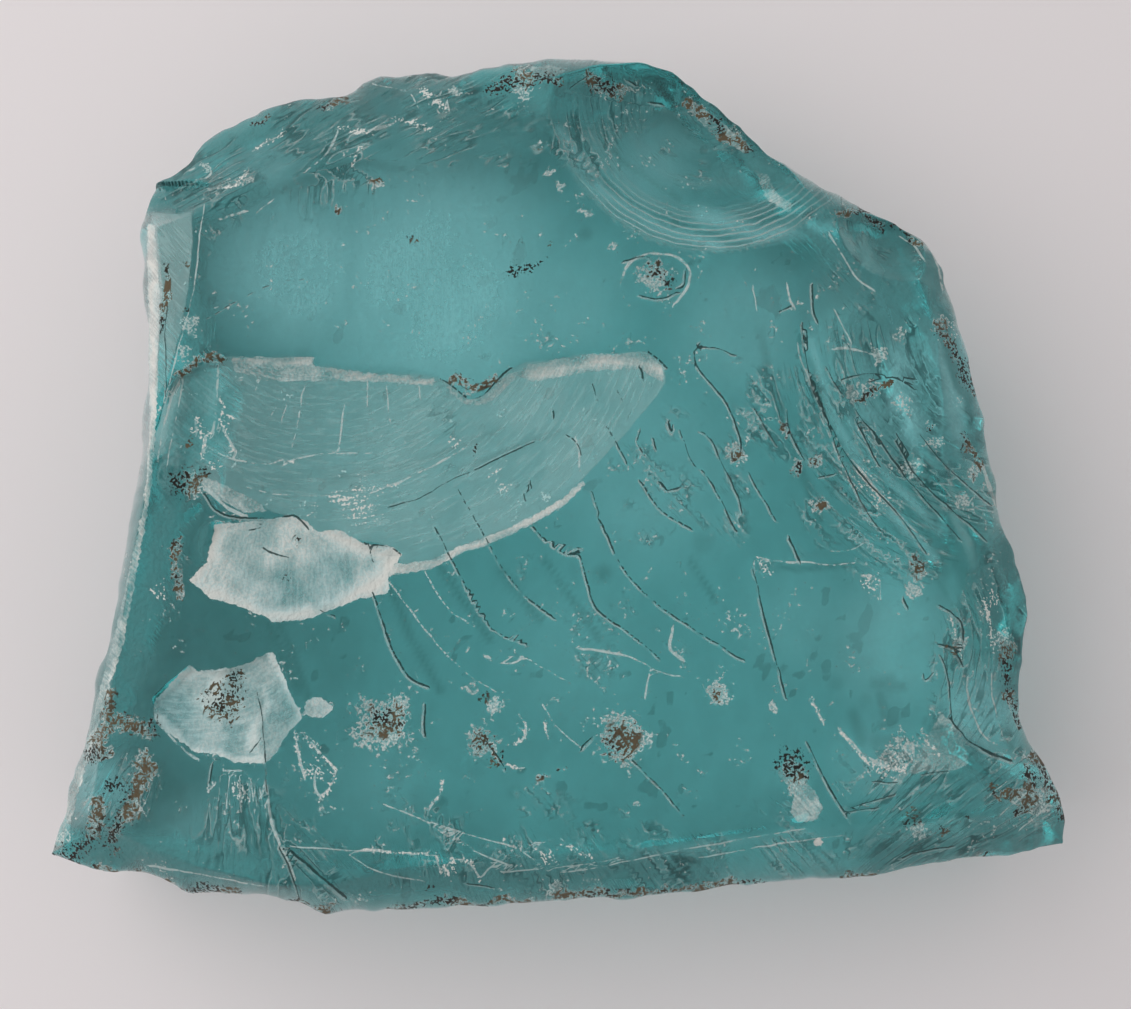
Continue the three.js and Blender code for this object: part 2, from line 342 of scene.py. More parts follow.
WHITE_FLAKE = path(
    215, 524, 255, 521, 292, 516, 304, 520, 318, 532, 340, 530, 357, 540, 369, 545, 387, 545, 403, 553,
    387, 575, 391, 593, 367, 597, 328, 611, 308, 619, 274, 623, 266, 617, 229, 603, 211, 599, 189, 579,
    207, 561,
)
SPLIT_FLAKE = path(
    154, 702, 172, 682, 190, 664, 199, 671, 231, 668, 248, 663, 272, 650, 282, 672, 294, 701, 303, 717,
    286, 735, 275, 754, 266, 763, 238, 763, 215, 754, 196, 752, 166, 732, 154, 719,
)
MILKY_SHELF = path(
    176, 375, 199, 365, 221, 357, 313, 357, 314, 365, 362, 371, 412, 373, 437, 377, 449, 383, 467, 399,
    482, 398, 494, 383, 510, 369, 526, 363, 584, 354, 645, 351, 663, 365, 667, 381, 655, 398, 620, 440,
    584, 478, 559, 501, 533, 519, 507, 529, 456, 547, 431, 560, 403, 566, 387, 545, 357, 540, 318, 532,
    304, 520, 271, 511, 246, 496, 213, 481, 180, 471, 163, 461, 160, 440, 167, 405,
)


@dataclass(frozen=True)
class Marks:
    """The small marks of the upper face, read from the photograph.

    flakes, films and milks are outlines of thick white, thin white and milky glass, with whiter rims
    and thin places. cracks are dark fine lines, and ridges pale fine lines, partly white edges and
    partly painted highlights; steps only shape the face. soils are soiled and crushed stretches, dirt
    and crust spots of the same. shade and shadows darken the glass's tint: mostly painted shade, and
    some small spots are dark marks deep in the glass. glooms are painted shade too, an opaque dark teal
    sheet over the glass. glow is painted light that clears the glass's tint. bands and dust are paler:
    a veil partly of dust and partly painted sheen. glints and sparks are painted highlights, places and
    lines of small glints, hackles places that are broken into small strokes with painted highlights
    and painted shade on their sides, and strikes points that streaks spread from.
    """

    flakes: tuple[tuple[Pixel, ...], ...] = (
        WHITE_FLAKE,
        SPLIT_FLAKE,
        path(304, 702, 318, 696, 335, 708, 322, 718, 306, 716),
    )
    films: tuple[tuple[Pixel, ...], ...] = (
        path(512, 372, 530, 364, 584, 355, 645, 352, 662, 365, 666, 384, 655, 379, 640, 369, 600, 370,
            560, 377, 530, 382),
        path(445, 388, 449, 384, 466, 400, 482, 399, 494, 386, 509, 373, 520, 376, 498, 396, 482, 406,
            464, 405),
        path(230, 358, 313, 358, 314, 366, 362, 372, 437, 378, 438, 386, 380, 382, 310, 381, 262, 380,
            236, 372),
        path(196, 474, 213, 479, 246, 495, 270, 511, 246, 513, 215, 498, 203, 486),
        path(380, 566, 431, 560, 456, 547, 507, 529, 559, 501, 582, 480, 586, 484, 561, 508, 509, 536,
            458, 555, 432, 569, 382, 577),
        path(762, 768, 776, 772, 787, 783, 794, 794, 790, 812, 798, 823, 816, 820, 824, 808, 814, 790,
            800, 776),
        path(147, 223, 155, 226, 160, 293, 158, 390, 152, 479, 142, 543, 124, 640, 98, 725, 62, 850,
            50, 850, 88, 735, 120, 612, 144, 504, 150, 428, 148, 300),
        path(528, 67, 548, 65, 568, 69, 556, 76, 536, 75),
        path(756, 172, 768, 174, 774, 190, 793, 206, 789, 212, 766, 200),
        path(690, 104, 702, 108, 728, 128, 752, 148, 744, 153, 716, 138, 694, 116),
        path(907, 774, 925, 772, 954, 770, 970, 764, 962, 735, 950, 721, 941, 712, 932, 728),
    )
    milks: tuple[tuple[Pixel, ...], ...] = (
        MILKY_SHELF,
        path(151, 212, 172, 214, 191, 212, 193, 238, 189, 285, 181, 330, 169, 372, 158, 398, 152, 390,
            154, 300, 150, 230),
    )
    rims: tuple[Line, ...] = (
        *lines(7, (385, 572, 431, 563, 457, 551, 508, 532, 560, 504, 584, 482), (530, 372, 584, 362,
            640, 360, 662, 372)),
        *lines(5, (232, 360, 313, 360, 362, 374, 437, 380)),
        *lines(12, (188, 578, 211, 597, 229, 602, 266, 615, 290, 616, 311, 613, 330, 605, 367, 590,
            380, 578, 403, 553), (189, 579, 207, 561, 216, 528)),
        *lines(8, (154, 702, 172, 684, 192, 672, 214, 674), (206, 700, 222, 672, 250, 662)),
        *lines(6, (154, 722, 176, 738, 200, 752), (196, 752, 238, 762, 262, 760), (272, 652, 292, 700,
            302, 718), (252, 745, 264, 708, 262, 690), (150, 228, 153, 300, 153, 390, 149, 470, 134, 600,
            112, 690, 75, 820)),
        *lines(10, (302, 520, 330, 536, 366, 548, 400, 556)),
    )
    thins: tuple[Spot, ...] = (
        *spots(0.8, 290, 588, 34, 278, 708, 40, 225, 745, 20),
        *spots(0.75, 335, 572, 34),
        *spots(0.7, 320, 595, 30, 170, 705, 18, 246, 690, 20),
        *spots(0.5, 250, 578, 26, 225, 708, 130),
        *spots(0.4, 262, 530, 26, 372, 562, 18, 270, 740, 20),
        *spots(0.35, 240, 550, 22, 275, 690, 26),
        *spots(0.6, 270, 600, 24, 320, 706, 9),
        *spots(1.2, 175, 712, 40),
        *spots(1, 183, 715, 26),
        *spots(0.9, 195, 735, 22, 236, 730, 22),
    )
    cracks: tuple[Line, ...] = (
        *lines(1.8, (812, 375, 822, 405, 840, 445, 860, 475, 890, 505, 910, 530, 925, 552), (857, 412,
            880, 440, 900, 470, 920, 495, 940, 515, 960, 540), (435, 527, 446, 550, 463, 580, 482, 608,
            492, 629), (592, 491, 602, 523, 618, 563, 641, 591, 669, 614, 697, 631, 744, 661), (787, 411,
            789, 431, 804, 459), (812, 286, 813, 314, 817, 322), (808, 743, 829, 788, 847, 816),
            (901, 858, 919, 852, 954, 846), (280, 848, 293, 876, 299, 896), (257, 694, 263, 718, 265, 759,
            267, 790), (213, 765, 209, 784), (251, 752, 258, 742), (686, 270, 685, 285, 680, 288),
            (640, 295, 660, 301, 677, 292), (205, 494, 213, 509, 230, 517, 263, 519, 294, 515), (592, 382,
            597, 399), (554, 410, 554, 417), (639, 432, 637, 440), (653, 438, 656, 450), (566, 435,
            574, 439, 581, 450, 581, 456), (530, 480, 531, 487), (598, 518, 610, 543), (369, 546,
            373, 563), (320, 610, 335, 616), (373, 592, 386, 632), (625, 262, 641, 256, 650, 258),
            (806, 330, 808, 348)),
        *lines(1.7, (895, 440, 915, 475, 940, 500, 965, 520, 985, 540), (802, 325, 807, 365, 815, 395,
            827, 420, 837, 450, 850, 480, 865, 510, 880, 530), (457, 488, 476, 521, 492, 549, 506, 575,
            529, 600, 555, 619), (604, 616, 632, 635, 660, 659), (641, 481, 652, 500, 663, 514, 690, 528),
            (700, 344, 693, 354, 696, 367, 715, 389, 728, 404, 741, 439, 741, 451), (632, 761, 655, 782,
            683, 815), (437, 377, 449, 383, 467, 399, 482, 398, 494, 383, 510, 369), (607, 426, 616, 443,
            627, 463)),
        *lines(1.6, (920, 435, 940, 460, 960, 480, 990, 505), (840, 380, 865, 372, 895, 377, 915, 390),
            (597, 516, 610, 542), (700, 431, 712, 439, 723, 466, 738, 494, 742, 513), (680, 429, 692, 466,
            705, 471, 722, 503, 736, 531), (856, 421, 861, 431, 879, 466), (749, 472, 763, 500, 777, 521),
            (538, 440, 510, 453, 480, 468, 446, 481, 428, 494, 413, 501, 385, 508), (236, 531, 262, 528)),
        *lines(1.3, (695, 365, 692, 350, 708, 345, 735, 355)),
        *lines(1.9, (533, 527, 546, 542, 569, 557, 579, 550, 585, 573, 593, 606, 604, 616), (753, 570,
            758, 588, 762, 611, 770, 640, 775, 656, 779, 672, 786, 698)),
        *lines(1.4, (543, 537, 564, 545, 581, 548), (518, 634, 528, 645), (546, 611, 556, 619), (754, 409,
            777, 446), (779, 312, 789, 307), (826, 367, 841, 394), (896, 434, 909, 456), (819, 477,
            834, 474), (941, 656, 949, 674, 952, 721), (923, 674, 925, 683, 932, 674), (874, 781,
            896, 783), (923, 774, 948, 771), (849, 808, 874, 801, 896, 794), (847, 812, 878, 808),
            (466, 884, 492, 887), (167, 300, 165, 340, 166, 395), (617, 391, 623, 401), (638, 445,
            644, 456), (523, 490, 525, 501), (570, 88, 592, 72)),
        *lines(1.5, (464, 584, 480, 617, 501, 635, 527, 645)),
        *lines(2, (681, 524, 691, 529), (874, 436, 879, 444), (789, 538, 799, 561), (954, 648, 962, 665),
            (366, 544, 390, 546, 400, 554), (628, 80, 636, 85), (650, 102, 662, 104)),
        *lines(2.2, (869, 382, 891, 376, 914, 380), (380, 613, 393, 652, 411, 680, 428, 687), (939, 605,
            950, 611, 963, 623, 963, 640), (939, 644, 954, 648, 961, 647), (425, 706, 425, 734),
            (487, 742, 497, 756, 506, 769), (904, 600, 907, 607), (648, 352, 657, 358, 665, 366),
            (671, 490, 679, 488), (264, 548, 275, 555, 287, 557), (297, 517, 308, 528)),
        *lines(2.4, (950, 719, 965, 739, 985, 751, 1010, 761)),
        *lines(3.4, (290, 850, 308, 866, 344, 896)),
        *lines(2.6, (581, 748, 591, 738), (661, 483, 666, 489)),
        *lines(3, (641, 368, 643, 377), (669, 424, 672, 432)),
        *lines(0.7, (204, 320, 245, 296, 278, 281, 303, 279)),
    )
    # Pale fine lines: partly white edges, partly painted highlights where edges glint.
    ridges: tuple[Line, ...] = (
        *lines(1.4, (289, 846, 361, 851, 439, 856), (700, 858, 760, 846, 840, 836), (241, 380, 268, 381,
            310, 380), (210, 448, 230, 459, 255, 464, 280, 465), (304, 388, 293, 443), (367, 380,
            368, 408), (386, 386, 390, 421), (419, 386, 420, 400), (184, 378, 179, 403, 167, 466),
            (802, 326, 807, 349), (819, 414, 836, 451, 856, 494, 871, 518), (753, 562, 757, 589),
            (525, 853, 548, 871), (992, 674, 991, 696, 1003, 736), (1003, 674, 1012, 719, 1019, 730),
            (880, 580, 881, 600), (440, 90, 440, 112), (204, 206, 199, 236, 196, 282, 185, 326, 164, 400)),
        *lines(1.3, (500, 872, 560, 868, 620, 858), (296, 458, 329, 453, 372, 453), (834, 310, 851, 342),
            (753, 287, 757, 311), (424, 87, 429, 104), (412, 95, 418, 107), (434, 92, 438, 112)),
        *lines(1.6, (150, 866, 200, 874, 262, 886), (344, 406, 339, 448), (389, 446, 391, 469), (385, 805,
            438, 825, 484, 839, 516, 847), (418, 817, 469, 850, 510, 866), (561, 839, 599, 863),
            (364, 849, 402, 853, 430, 853), (344, 850, 364, 866, 387, 875, 425, 881), (544, 722,
            548, 738), (811, 697, 823, 723), (374, 85, 404, 90)),
        *lines(1.8, (230, 357, 313, 358), lift=0.1),
        *lines(3, (576, 440, 580, 453, 578, 468), (222, 398, 224, 409, 220, 415), (196, 418, 196, 432),
            (207, 490, 228, 508, 244, 516), (981, 464, 988, 481, 996, 506), (865, 754, 883, 768,
            905, 770), (673, 629, 668, 649, 681, 659), (255, 149, 281, 134), (220, 219, 245, 211),
            (357, 134, 393, 124), (925, 240, 938, 262, 942, 290)),
        *lines(2.2, (272, 464, 281, 460), (283, 465, 296, 458)),
        *lines(1.2, (243, 486, 263, 492, 296, 497, 329, 496), (302, 403, 292, 449), (405, 440, 407, 464),
            (286, 406, 281, 423), (239, 372, 254, 365), (230, 776, 226, 808), (240, 778, 241, 812),
            (250, 778, 255, 814), (258, 776, 262, 806), (221, 775, 218, 800), (831, 551, 852, 550,
            863, 543), (528, 659, 559, 677, 569, 682), (482, 655, 507, 657, 525, 656), (448, 831,
            474, 849), (530, 845, 561, 866), (985, 800, 1010, 778), (1000, 815, 1030, 790), (1020, 830,
            1045, 808), (446, 93, 449, 110)),
        *lines(2.6, (372, 492, 420, 474, 468, 446), (218, 369, 216, 415, 213, 433), (222, 424, 229, 441,
            234, 451), (876, 877, 910, 869, 941, 862, 983, 857), (923, 730, 939, 754), (840, 730,
            865, 756)),
        *lines(1.1, (263, 373, 255, 391), (275, 406, 271, 416)),
        *lines(2, (182, 377, 171, 397, 163, 428, 158, 461), (787, 285, 789, 300, 793, 307), (434, 852,
            443, 877, 451, 858, 471, 862, 481, 882, 489, 866, 497, 867), (581, 649, 613, 652, 641, 661,
            660, 673, 683, 677), (257, 212, 272, 200), (899, 236, 915, 246, 926, 262)),
        *lines(3.4, (205, 438, 202, 456)),
        *lines(3, (258, 701, 256, 721, 262, 743, 265, 763, 267, 792, 273, 830, 294, 876), lift=0.3),
        *lines(2.4, (226, 770, 248, 772), (295, 733, 298, 755, 304, 776), (303, 733, 321, 754, 336, 769,
            334, 782, 319, 801, 313, 779, 317, 768), (836, 349, 851, 348, 884, 358), (443, 782, 438, 797,
            430, 806), (865, 576, 874, 576, 868, 582), (190, 170, 203, 164, 212, 168, 208, 178, 196, 180)),
        *lines(3.2, (155, 721, 182, 748, 196, 758)),
        *lines(1.8, (798, 344, 800, 359, 810, 379, 831, 431, 851, 459, 876, 489, 901, 518, 926, 541),
            (543, 705, 557, 729, 581, 747), (482, 657, 507, 666, 525, 657), (968, 678, 967, 696, 979, 732,
            988, 741), (502, 759, 512, 768, 522, 768), (525, 723, 527, 736, 517, 743), (535, 842,
            544, 843), (758, 560, 761, 569), (765, 562, 770, 575), (829, 235, 839, 250, 856, 280,
            874, 290), (650, 670, 645, 700), (305, 171, 327, 156, 338, 131)),
        *lines(2, (758, 557, 782, 563, 807, 561, 829, 567, 852, 562), lift=0.2),
        *lines(1.5, (390, 583, 418, 621, 456, 667, 495, 692), (415, 551, 431, 584, 450, 612, 468, 622)),
        *lines(1.5, (561, 873, 599, 867, 680, 850, 805, 828), lift=0.2),
        *lines(3, (622, 282, 627, 264, 645, 253, 672, 254, 690, 266, 690, 284, 676, 303), lift=0.2),
        *lines(2.8, (226, 187, 236, 185, 248, 170)),
    )
    steps: tuple[Line, ...] = (
        *lines(1.4, (803, 327, 809, 379, 834, 430, 859, 469, 891, 507), lift=-0.5),
        *lines(1.4, (784, 277, 794, 290, 790, 308), (390, 583, 418, 621, 456, 667, 495, 692), lift=0.3),
        *lines(1.4, (836, 346, 860, 350, 884, 362), (951, 723, 966, 736, 1009, 759), (757, 557, 786, 563,
            801, 561, 828, 568, 847, 563), (641, 849, 720, 838, 805, 824), (379, 804, 440, 822, 515, 847),
            (880, 420, 920, 462, 960, 505), (860, 470, 900, 520, 930, 560), lift=0.4),
        *lines(1.4, (926, 449, 951, 476, 993, 518), lift=0.5),
        *lines(1.4, (901, 464, 940, 500, 975, 541), lift=-0.4),
    )
    soils: tuple[Line, ...] = (
        *lines(5, (96, 866, 168, 883, 234, 902, 317, 907), (836, 213, 858, 214, 882, 226), (320, 104,
            350, 98), (176, 375, 199, 364, 221, 358), (455, 380, 470, 384, 496, 382), (981, 464, 976, 452,
            966, 436), (308, 905, 330, 908)),
        *lines(4, (383, 911, 450, 906, 527, 901), (250, 122, 268, 117), (849, 876, 872, 878), (265, 897,
            300, 904), (556, 893, 590, 892), (430, 904, 470, 902), (196, 886, 240, 894), (164, 270,
            166, 300, 160, 330)),
        *lines(3.5, (579, 895, 660, 889, 760, 880)),
        *lines(12, (147, 762, 132, 800, 114, 842)),
        *lines(9, (115, 690, 103, 730, 92, 757), (1035, 754, 1048, 785, 1064, 820), (493, 90, 520, 76,
            556, 80)),
        *lines(11, (99, 805, 92, 836, 74, 855), (592, 82, 618, 88)),
        *lines(7, (1009, 645, 1008, 674, 1019, 719), (690, 103, 715, 124, 748, 150), (938, 331, 958, 352,
            974, 392), (60, 852, 82, 862), (1024, 770, 1032, 800, 1018, 812), (1000, 796, 1016, 794)),
        *lines(6, (894, 227, 921, 241), (1042, 850, 1066, 852), (860, 398, 880, 388, 894, 380), (176, 545,
            176, 590)),
        *lines(3, (700, 882, 730, 880)),
        *lines(14, (107, 720, 145, 730)),
    )
    dirt: tuple[Spot, ...] = (
        *spots(1, 184, 484, 22, 203, 474, 9, 222, 702, 26, 234, 680, 14, 112, 785, 13, 96, 825, 12,
            384, 722, 26, 481, 744, 18, 497, 760, 9, 486, 695, 8, 624, 740, 26, 713, 694, 7, 792, 764, 24,
            736, 455, 9, 786, 428, 7, 820, 508, 9, 796, 470, 8, 918, 566, 13, 954, 648, 7, 655, 272, 14,
            668, 284, 10, 990, 788, 9, 514, 272, 12, 526, 268, 7, 540, 264, 6, 375, 178, 5, 377, 191, 5,
            339, 206, 6, 411, 238, 4, 912, 820, 11, 941, 835, 8, 538, 778, 6, 558, 769, 6, 103, 754, 9,
            930, 427, 7, 964, 446, 5, 974, 472, 5, 187, 442, 7, 475, 446, 6, 446, 900, 5, 576, 896, 7,
            670, 884, 6, 430, 887, 8, 185, 262, 6, 186, 310, 7, 302, 542, 6, 289, 580, 4, 815, 462, 6,
            552, 240, 4, 521, 241, 4, 534, 152, 4, 1050, 800, 10, 1028, 774, 8, 963, 817, 5, 985, 853, 6,
            111, 691, 6),
    )
    crust: tuple[Spot, ...] = (
        *spots(1, 384, 720, 38, 481, 745, 24, 497, 706, 14, 469, 687, 12, 624, 738, 34, 713, 693, 13,
            792, 768, 26, 736, 455, 14, 868, 390, 20, 820, 508, 14, 796, 470, 12, 816, 462, 9,
            918, 566, 16, 912, 591, 14, 963, 640, 10, 655, 278, 28, 524, 86, 24, 604, 86, 16, 772, 706, 9,
            186, 484, 24, 60, 840, 14, 192, 325, 12, 176, 573, 10, 177, 589, 8, 210, 787, 8, 916, 833, 14,
            103, 754, 12, 538, 778, 9, 558, 769, 9, 475, 446, 9, 549, 171, 7, 558, 189, 7, 582, 215, 8,
            614, 245, 9, 375, 182, 8, 339, 206, 8, 786, 428, 9, 558, 889, 8, 576, 896, 12, 670, 884, 8,
            446, 900, 7, 545, 500, 8, 500, 488, 9, 930, 425, 11, 973, 470, 10, 1005, 640, 12,
            940, 330, 12, 455, 92, 9, 330, 105, 8, 118, 726, 16, 85, 845, 12, 850, 395, 12, 640, 800, 6),
        *spots(0.8, 900, 750, 30, 1035, 800, 30, 205, 165, 10, 240, 180, 14, 880, 352, 14, 952, 402, 14,
            960, 500, 12),
        *spots(0.9, 186, 350, 10, 905, 402, 18, 936, 446, 16),
        *spots(0.75, 912, 470, 14, 900, 330, 12),
    )
    shade: tuple[Spot, ...] = (
        *spots(0.9, 195, 420, 45, 172, 285, 60, 586, 234, 10),
        *spots(1, 500, 110, 45, 560, 105, 50, 870, 400, 50, 900, 430, 45, 160, 800, 70, 603, 573, 13),
        *spots(0.8, 620, 100, 50, 652, 835, 17, 893, 744, 16, 889, 683, 14),
        *spots(1.2, 880, 340, 50),
        *spots(0.95, 455, 140, 85),
        *spots(0.6, 520, 160, 60, 400, 120, 50, 330, 650, 60, 120, 850, 60, 589, 672, 12, 836, 683, 12),
        *spots(0.4, 270, 150, 70, 640, 120, 70, 240, 230, 60, 440, 860, 80),
        *spots(0.35, 690, 160, 90, 600, 860, 90, 900, 240, 60, 890, 250, 45),
        *spots(0.7, 800, 225, 70, 160, 640, 70, 702, 543, 14),
        *spots(0.25, 860, 640, 60),
        *spots(0.75, 240, 640, 90),
        *spots(0.5, 205, 245, 45, 300, 850, 60, 515, 792, 10, 395, 771, 16, 415, 440, 14, 866, 700, 10,
            560, 720, 12),
        *spots(0.45, 200, 330, 50, 740, 860, 90, 880, 850, 90),
        *spots(1.1, 1020, 830, 70),
        *spots(0.3, 865, 415, 50),
        *spots(0.2, 660, 630, 60, 540, 720, 80, 620, 790, 80),
    )
    shadows: tuple[Line, ...] = (
        *lines(55, (850, 300, 880, 350, 900, 410, 925, 470, 955, 530, 980, 600, 990, 680)),
        *lines(42, (190, 390, 178, 440, 168, 520, 155, 600, 138, 680, 120, 740)),
        *lines(34, (500, 92, 560, 84, 620, 92, 680, 112)),
        *lines(30, (170, 190, 220, 178, 260, 160)),
        *lines(26, (1000, 560, 1012, 620, 1010, 680), (90, 850, 170, 862, 260, 872, 360, 885), (215, 150,
            300, 118, 360, 105)),
        *lines(22, (1040, 850, 1058, 820), (180, 850, 300, 872, 400, 870, 520, 872, 640, 872), (480, 80,
            570, 72, 660, 84)),
        *lines(20, (690, 110, 760, 170, 830, 215, 910, 245)),
        *lines(7, (873, 684, 903, 686), (294, 194, 322, 175, 360, 162, 404, 170), (280, 625, 296, 662,
            308, 695), (845, 410, 880, 462, 925, 520), (880, 430, 920, 480, 960, 530), (205, 250,
            202, 300, 192, 345)),
        *lines(6, (880, 694, 886, 718), (880, 726, 893, 724), (250, 164, 283, 148, 316, 128), (820, 400,
            845, 450, 880, 500, 915, 540), (905, 440, 950, 490, 985, 530), (935, 450, 965, 485),
            (838, 348, 866, 350, 884, 362), (392, 590, 412, 640, 440, 690), (760, 330, 775, 400, 800, 470,
            820, 520), (812, 360, 830, 420, 860, 480, 900, 530), (925, 560, 950, 600, 960, 640),
            (965, 560, 985, 610, 985, 660), (1000, 700, 1010, 740)),
        *lines(8, (853, 714, 862, 740), (226, 213, 267, 194, 322, 175), (204, 224, 226, 216), (268, 625,
            285, 660, 300, 690)),
        *lines(9, (876, 742, 904, 740)),
        *lines(5, (261, 164, 297, 145), (435, 560, 470, 610, 490, 640), (500, 570, 540, 620), (925, 780,
            960, 776), (850, 808, 875, 800, 900, 792), (860, 858, 900, 848, 950, 842), (240, 815,
            262, 850, 280, 890)),
        *lines(4, (760, 566, 800, 569, 850, 565), (545, 560, 600, 640), (966, 670, 968, 700, 978, 735),
            (990, 680, 1000, 720, 1012, 748), (560, 120, 590, 170, 640, 215), (580, 100, 620, 160,
            680, 200), (690, 560, 715, 600), (460, 470, 520, 445, 560, 432), (330, 480, 420, 462,
            500, 430)),
    )
    # Painted shade: lines where an opaque dark teal sheet covers the glass.
    painted_shade_lines: tuple[Line, ...] = (
        *lines(30, (895, 235, 904, 290, 916, 340, 926, 390, 940, 450), (200, 385, 194, 430, 176, 480,
            158, 540, 143, 600, 128, 670, 112, 730)),
        *lines(14, (925, 470, 945, 530), (966, 400, 976, 440), (205, 212, 255, 192), (155, 205, 200, 200),
            (930, 260, 945, 330, 965, 400), (795, 222, 815, 240, 850, 262), (228, 395, 222, 440)),
        *lines(12, (208, 528, 206, 555)),
        *lines(22, (872, 320, 880, 400, 900, 460), (1008, 550, 1018, 620, 1014, 680)),
        *lines(24, (540, 104, 620, 108), (90, 846, 150, 852, 240, 866, 340, 882, 440, 880, 600, 872,
            700, 868), (975, 835, 1040, 845)),
        *lines(18, (196, 300, 196, 350), (1030, 850, 1055, 845, 1062, 820), (985, 560, 998, 620)),
        *lines(16, (940, 725, 970, 760, 1000, 790), (690, 112, 740, 150, 800, 196, 850, 222), (725, 165,
            748, 190)),
        *lines(26, (480, 96, 560, 90, 640, 104), (165, 180, 220, 145, 290, 120, 340, 112), (880, 858,
            960, 850)),
    )
    # Dust and painted sheen: bands of the pale veil.
    bands: tuple[Line, ...] = (
        *lines(8, (200, 455, 270, 470, 330, 462, 400, 446, 480, 412, 560, 380), (184, 378, 174, 410,
            168, 455)),
        *lines(7, (215, 492, 290, 502, 370, 492, 440, 470, 520, 440), (560, 130, 600, 190, 660, 228,
            720, 246), (810, 340, 835, 420, 880, 500, 935, 560)),
        *lines(9, (640, 360, 655, 385, 620, 430, 560, 490)),
        *lines(12, (700, 215, 760, 235, 830, 225)),
        *lines(6, (850, 420, 890, 480, 940, 530)),
    )
    # Painted light: spots where the glass's tint is cleared, as if more light fell through it.
    glow: tuple[Spot, ...] = (
        *spots(1, 975, 700, 60),
        *spots(0.9, 400, 280, 150),
        *spots(0.6, 500, 330, 110),
        *spots(0.5, 300, 300, 80, 880, 640, 90),
        *spots(0.4, 430, 200, 60),
        *spots(0.3, 700, 330, 80, 176, 290, 50),
        *spots(0.8, 985, 710, 45),
    )
    # Dust and painted sheen: spots of a pale veil over the glass.
    dust_and_sheen: tuple[Spot, ...] = (
        *spots(1.2, 430, 290, 170, 300, 270, 110, 980, 705, 55),
        *spots(0.6, 560, 300, 90, 900, 640, 90),
        *spots(0.55, 740, 330, 90),
        *spots(0.5, 640, 470, 130, 250, 430, 90, 172, 380, 40, 850, 340, 90, 200, 840, 60),
        *spots(0.4, 580, 410, 110, 880, 760, 60, 1020, 800, 60),
        *spots(0.15, 178, 290, 55),
        *spots(0.45, 650, 165, 50),
        *spots(0.2, 380, 780, 60, 570, 650, 90),
        *spots(0.25, 800, 620, 70),
        *spots(0.7, 255, 165, 70),
        *spots(0.9, 105, 790, 50),
        *spots(2.2, 925, 395, 90),
        *spots(0.3, 420, 130, 60),
    )
    # Painted highlights: spots of small white glints, and lines of them in sparks.
    glints: tuple[Spot, ...] = (
        *spots(1, 360, 502, 40, 315, 512, 16, 455, 440, 16, 230, 420, 14, 200, 430, 18, 215, 465, 14,
            550, 858, 16, 450, 868, 16, 870, 585, 22, 765, 568, 14, 890, 765, 26, 315, 770, 24,
            160, 590, 14, 860, 480, 26, 880, 500, 22, 500, 480, 20, 240, 790, 24, 1000, 640, 26,
            990, 600, 22, 950, 330, 20),
        *spots(3.5, 818, 842, 6),
    )
    sparks: tuple[Line, ...] = (
        *lines(4, (434, 852, 443, 877, 451, 858, 471, 862, 481, 882), (443, 782, 438, 797, 430, 806),
            (497, 757, 512, 768, 522, 768), (525, 723, 527, 736, 517, 743), (811, 697, 823, 723),
            (530, 845, 545, 858), (560, 843, 590, 858), (220, 395, 224, 409, 220, 420, 229, 441,
            234, 451), (205, 438, 202, 456), (380, 490, 395, 485), (758, 560, 770, 575), (255, 149,
            281, 134), (226, 187, 236, 185, 248, 170), (150, 590, 165, 600), (950, 620, 962, 660),
            (985, 600, 995, 650), (860, 470, 885, 505), (360, 148, 352, 165)),
        *lines(3, (364, 849, 402, 853, 426, 854), (544, 722, 548, 738), (283, 465, 296, 458), (500, 838,
            518, 848)),
        *lines(5, (295, 733, 298, 755, 304, 776), (303, 733, 321, 754, 336, 769, 334, 782, 319, 801),
            (840, 730, 853, 748, 866, 762, 885, 776), (922, 730, 930, 744, 938, 755), (196, 415,
            203, 440), (865, 576, 880, 600), (340, 128, 372, 134), (395, 118, 430, 128)),
        *lines(8, (870, 765, 905, 770)),
        *lines(6, (330, 498, 350, 500, 362, 510), (420, 88, 445, 108)),
    )
    hackles: tuple[Spot, ...] = (
        *spots(1, 900, 480, 150, 880, 370, 100, 985, 640, 90, 920, 810, 120, 1020, 800, 80, 330, 140, 110,
            220, 180, 80, 450, 110, 100),
        *spots(0.55, 700, 480, 130),
        *spots(0.75, 800, 420, 110),
        *spots(0.25, 520, 600, 120, 620, 640, 120),
        *spots(0.7, 560, 850, 100, 430, 850, 90, 580, 120, 100),
        *spots(0.9, 240, 820, 80, 980, 720, 70, 300, 880, 90),
        *spots(0.8, 120, 800, 70, 640, 880, 120, 800, 860, 80),
        *spots(0.5, 700, 150, 80, 240, 240, 60, 760, 850, 110),
        *spots(0.6, 860, 240, 90),
        *spots(0.3, 590, 420, 70),
        *spots(0.4, 180, 560, 60),
        *spots(0.35, 420, 450, 130),
    )
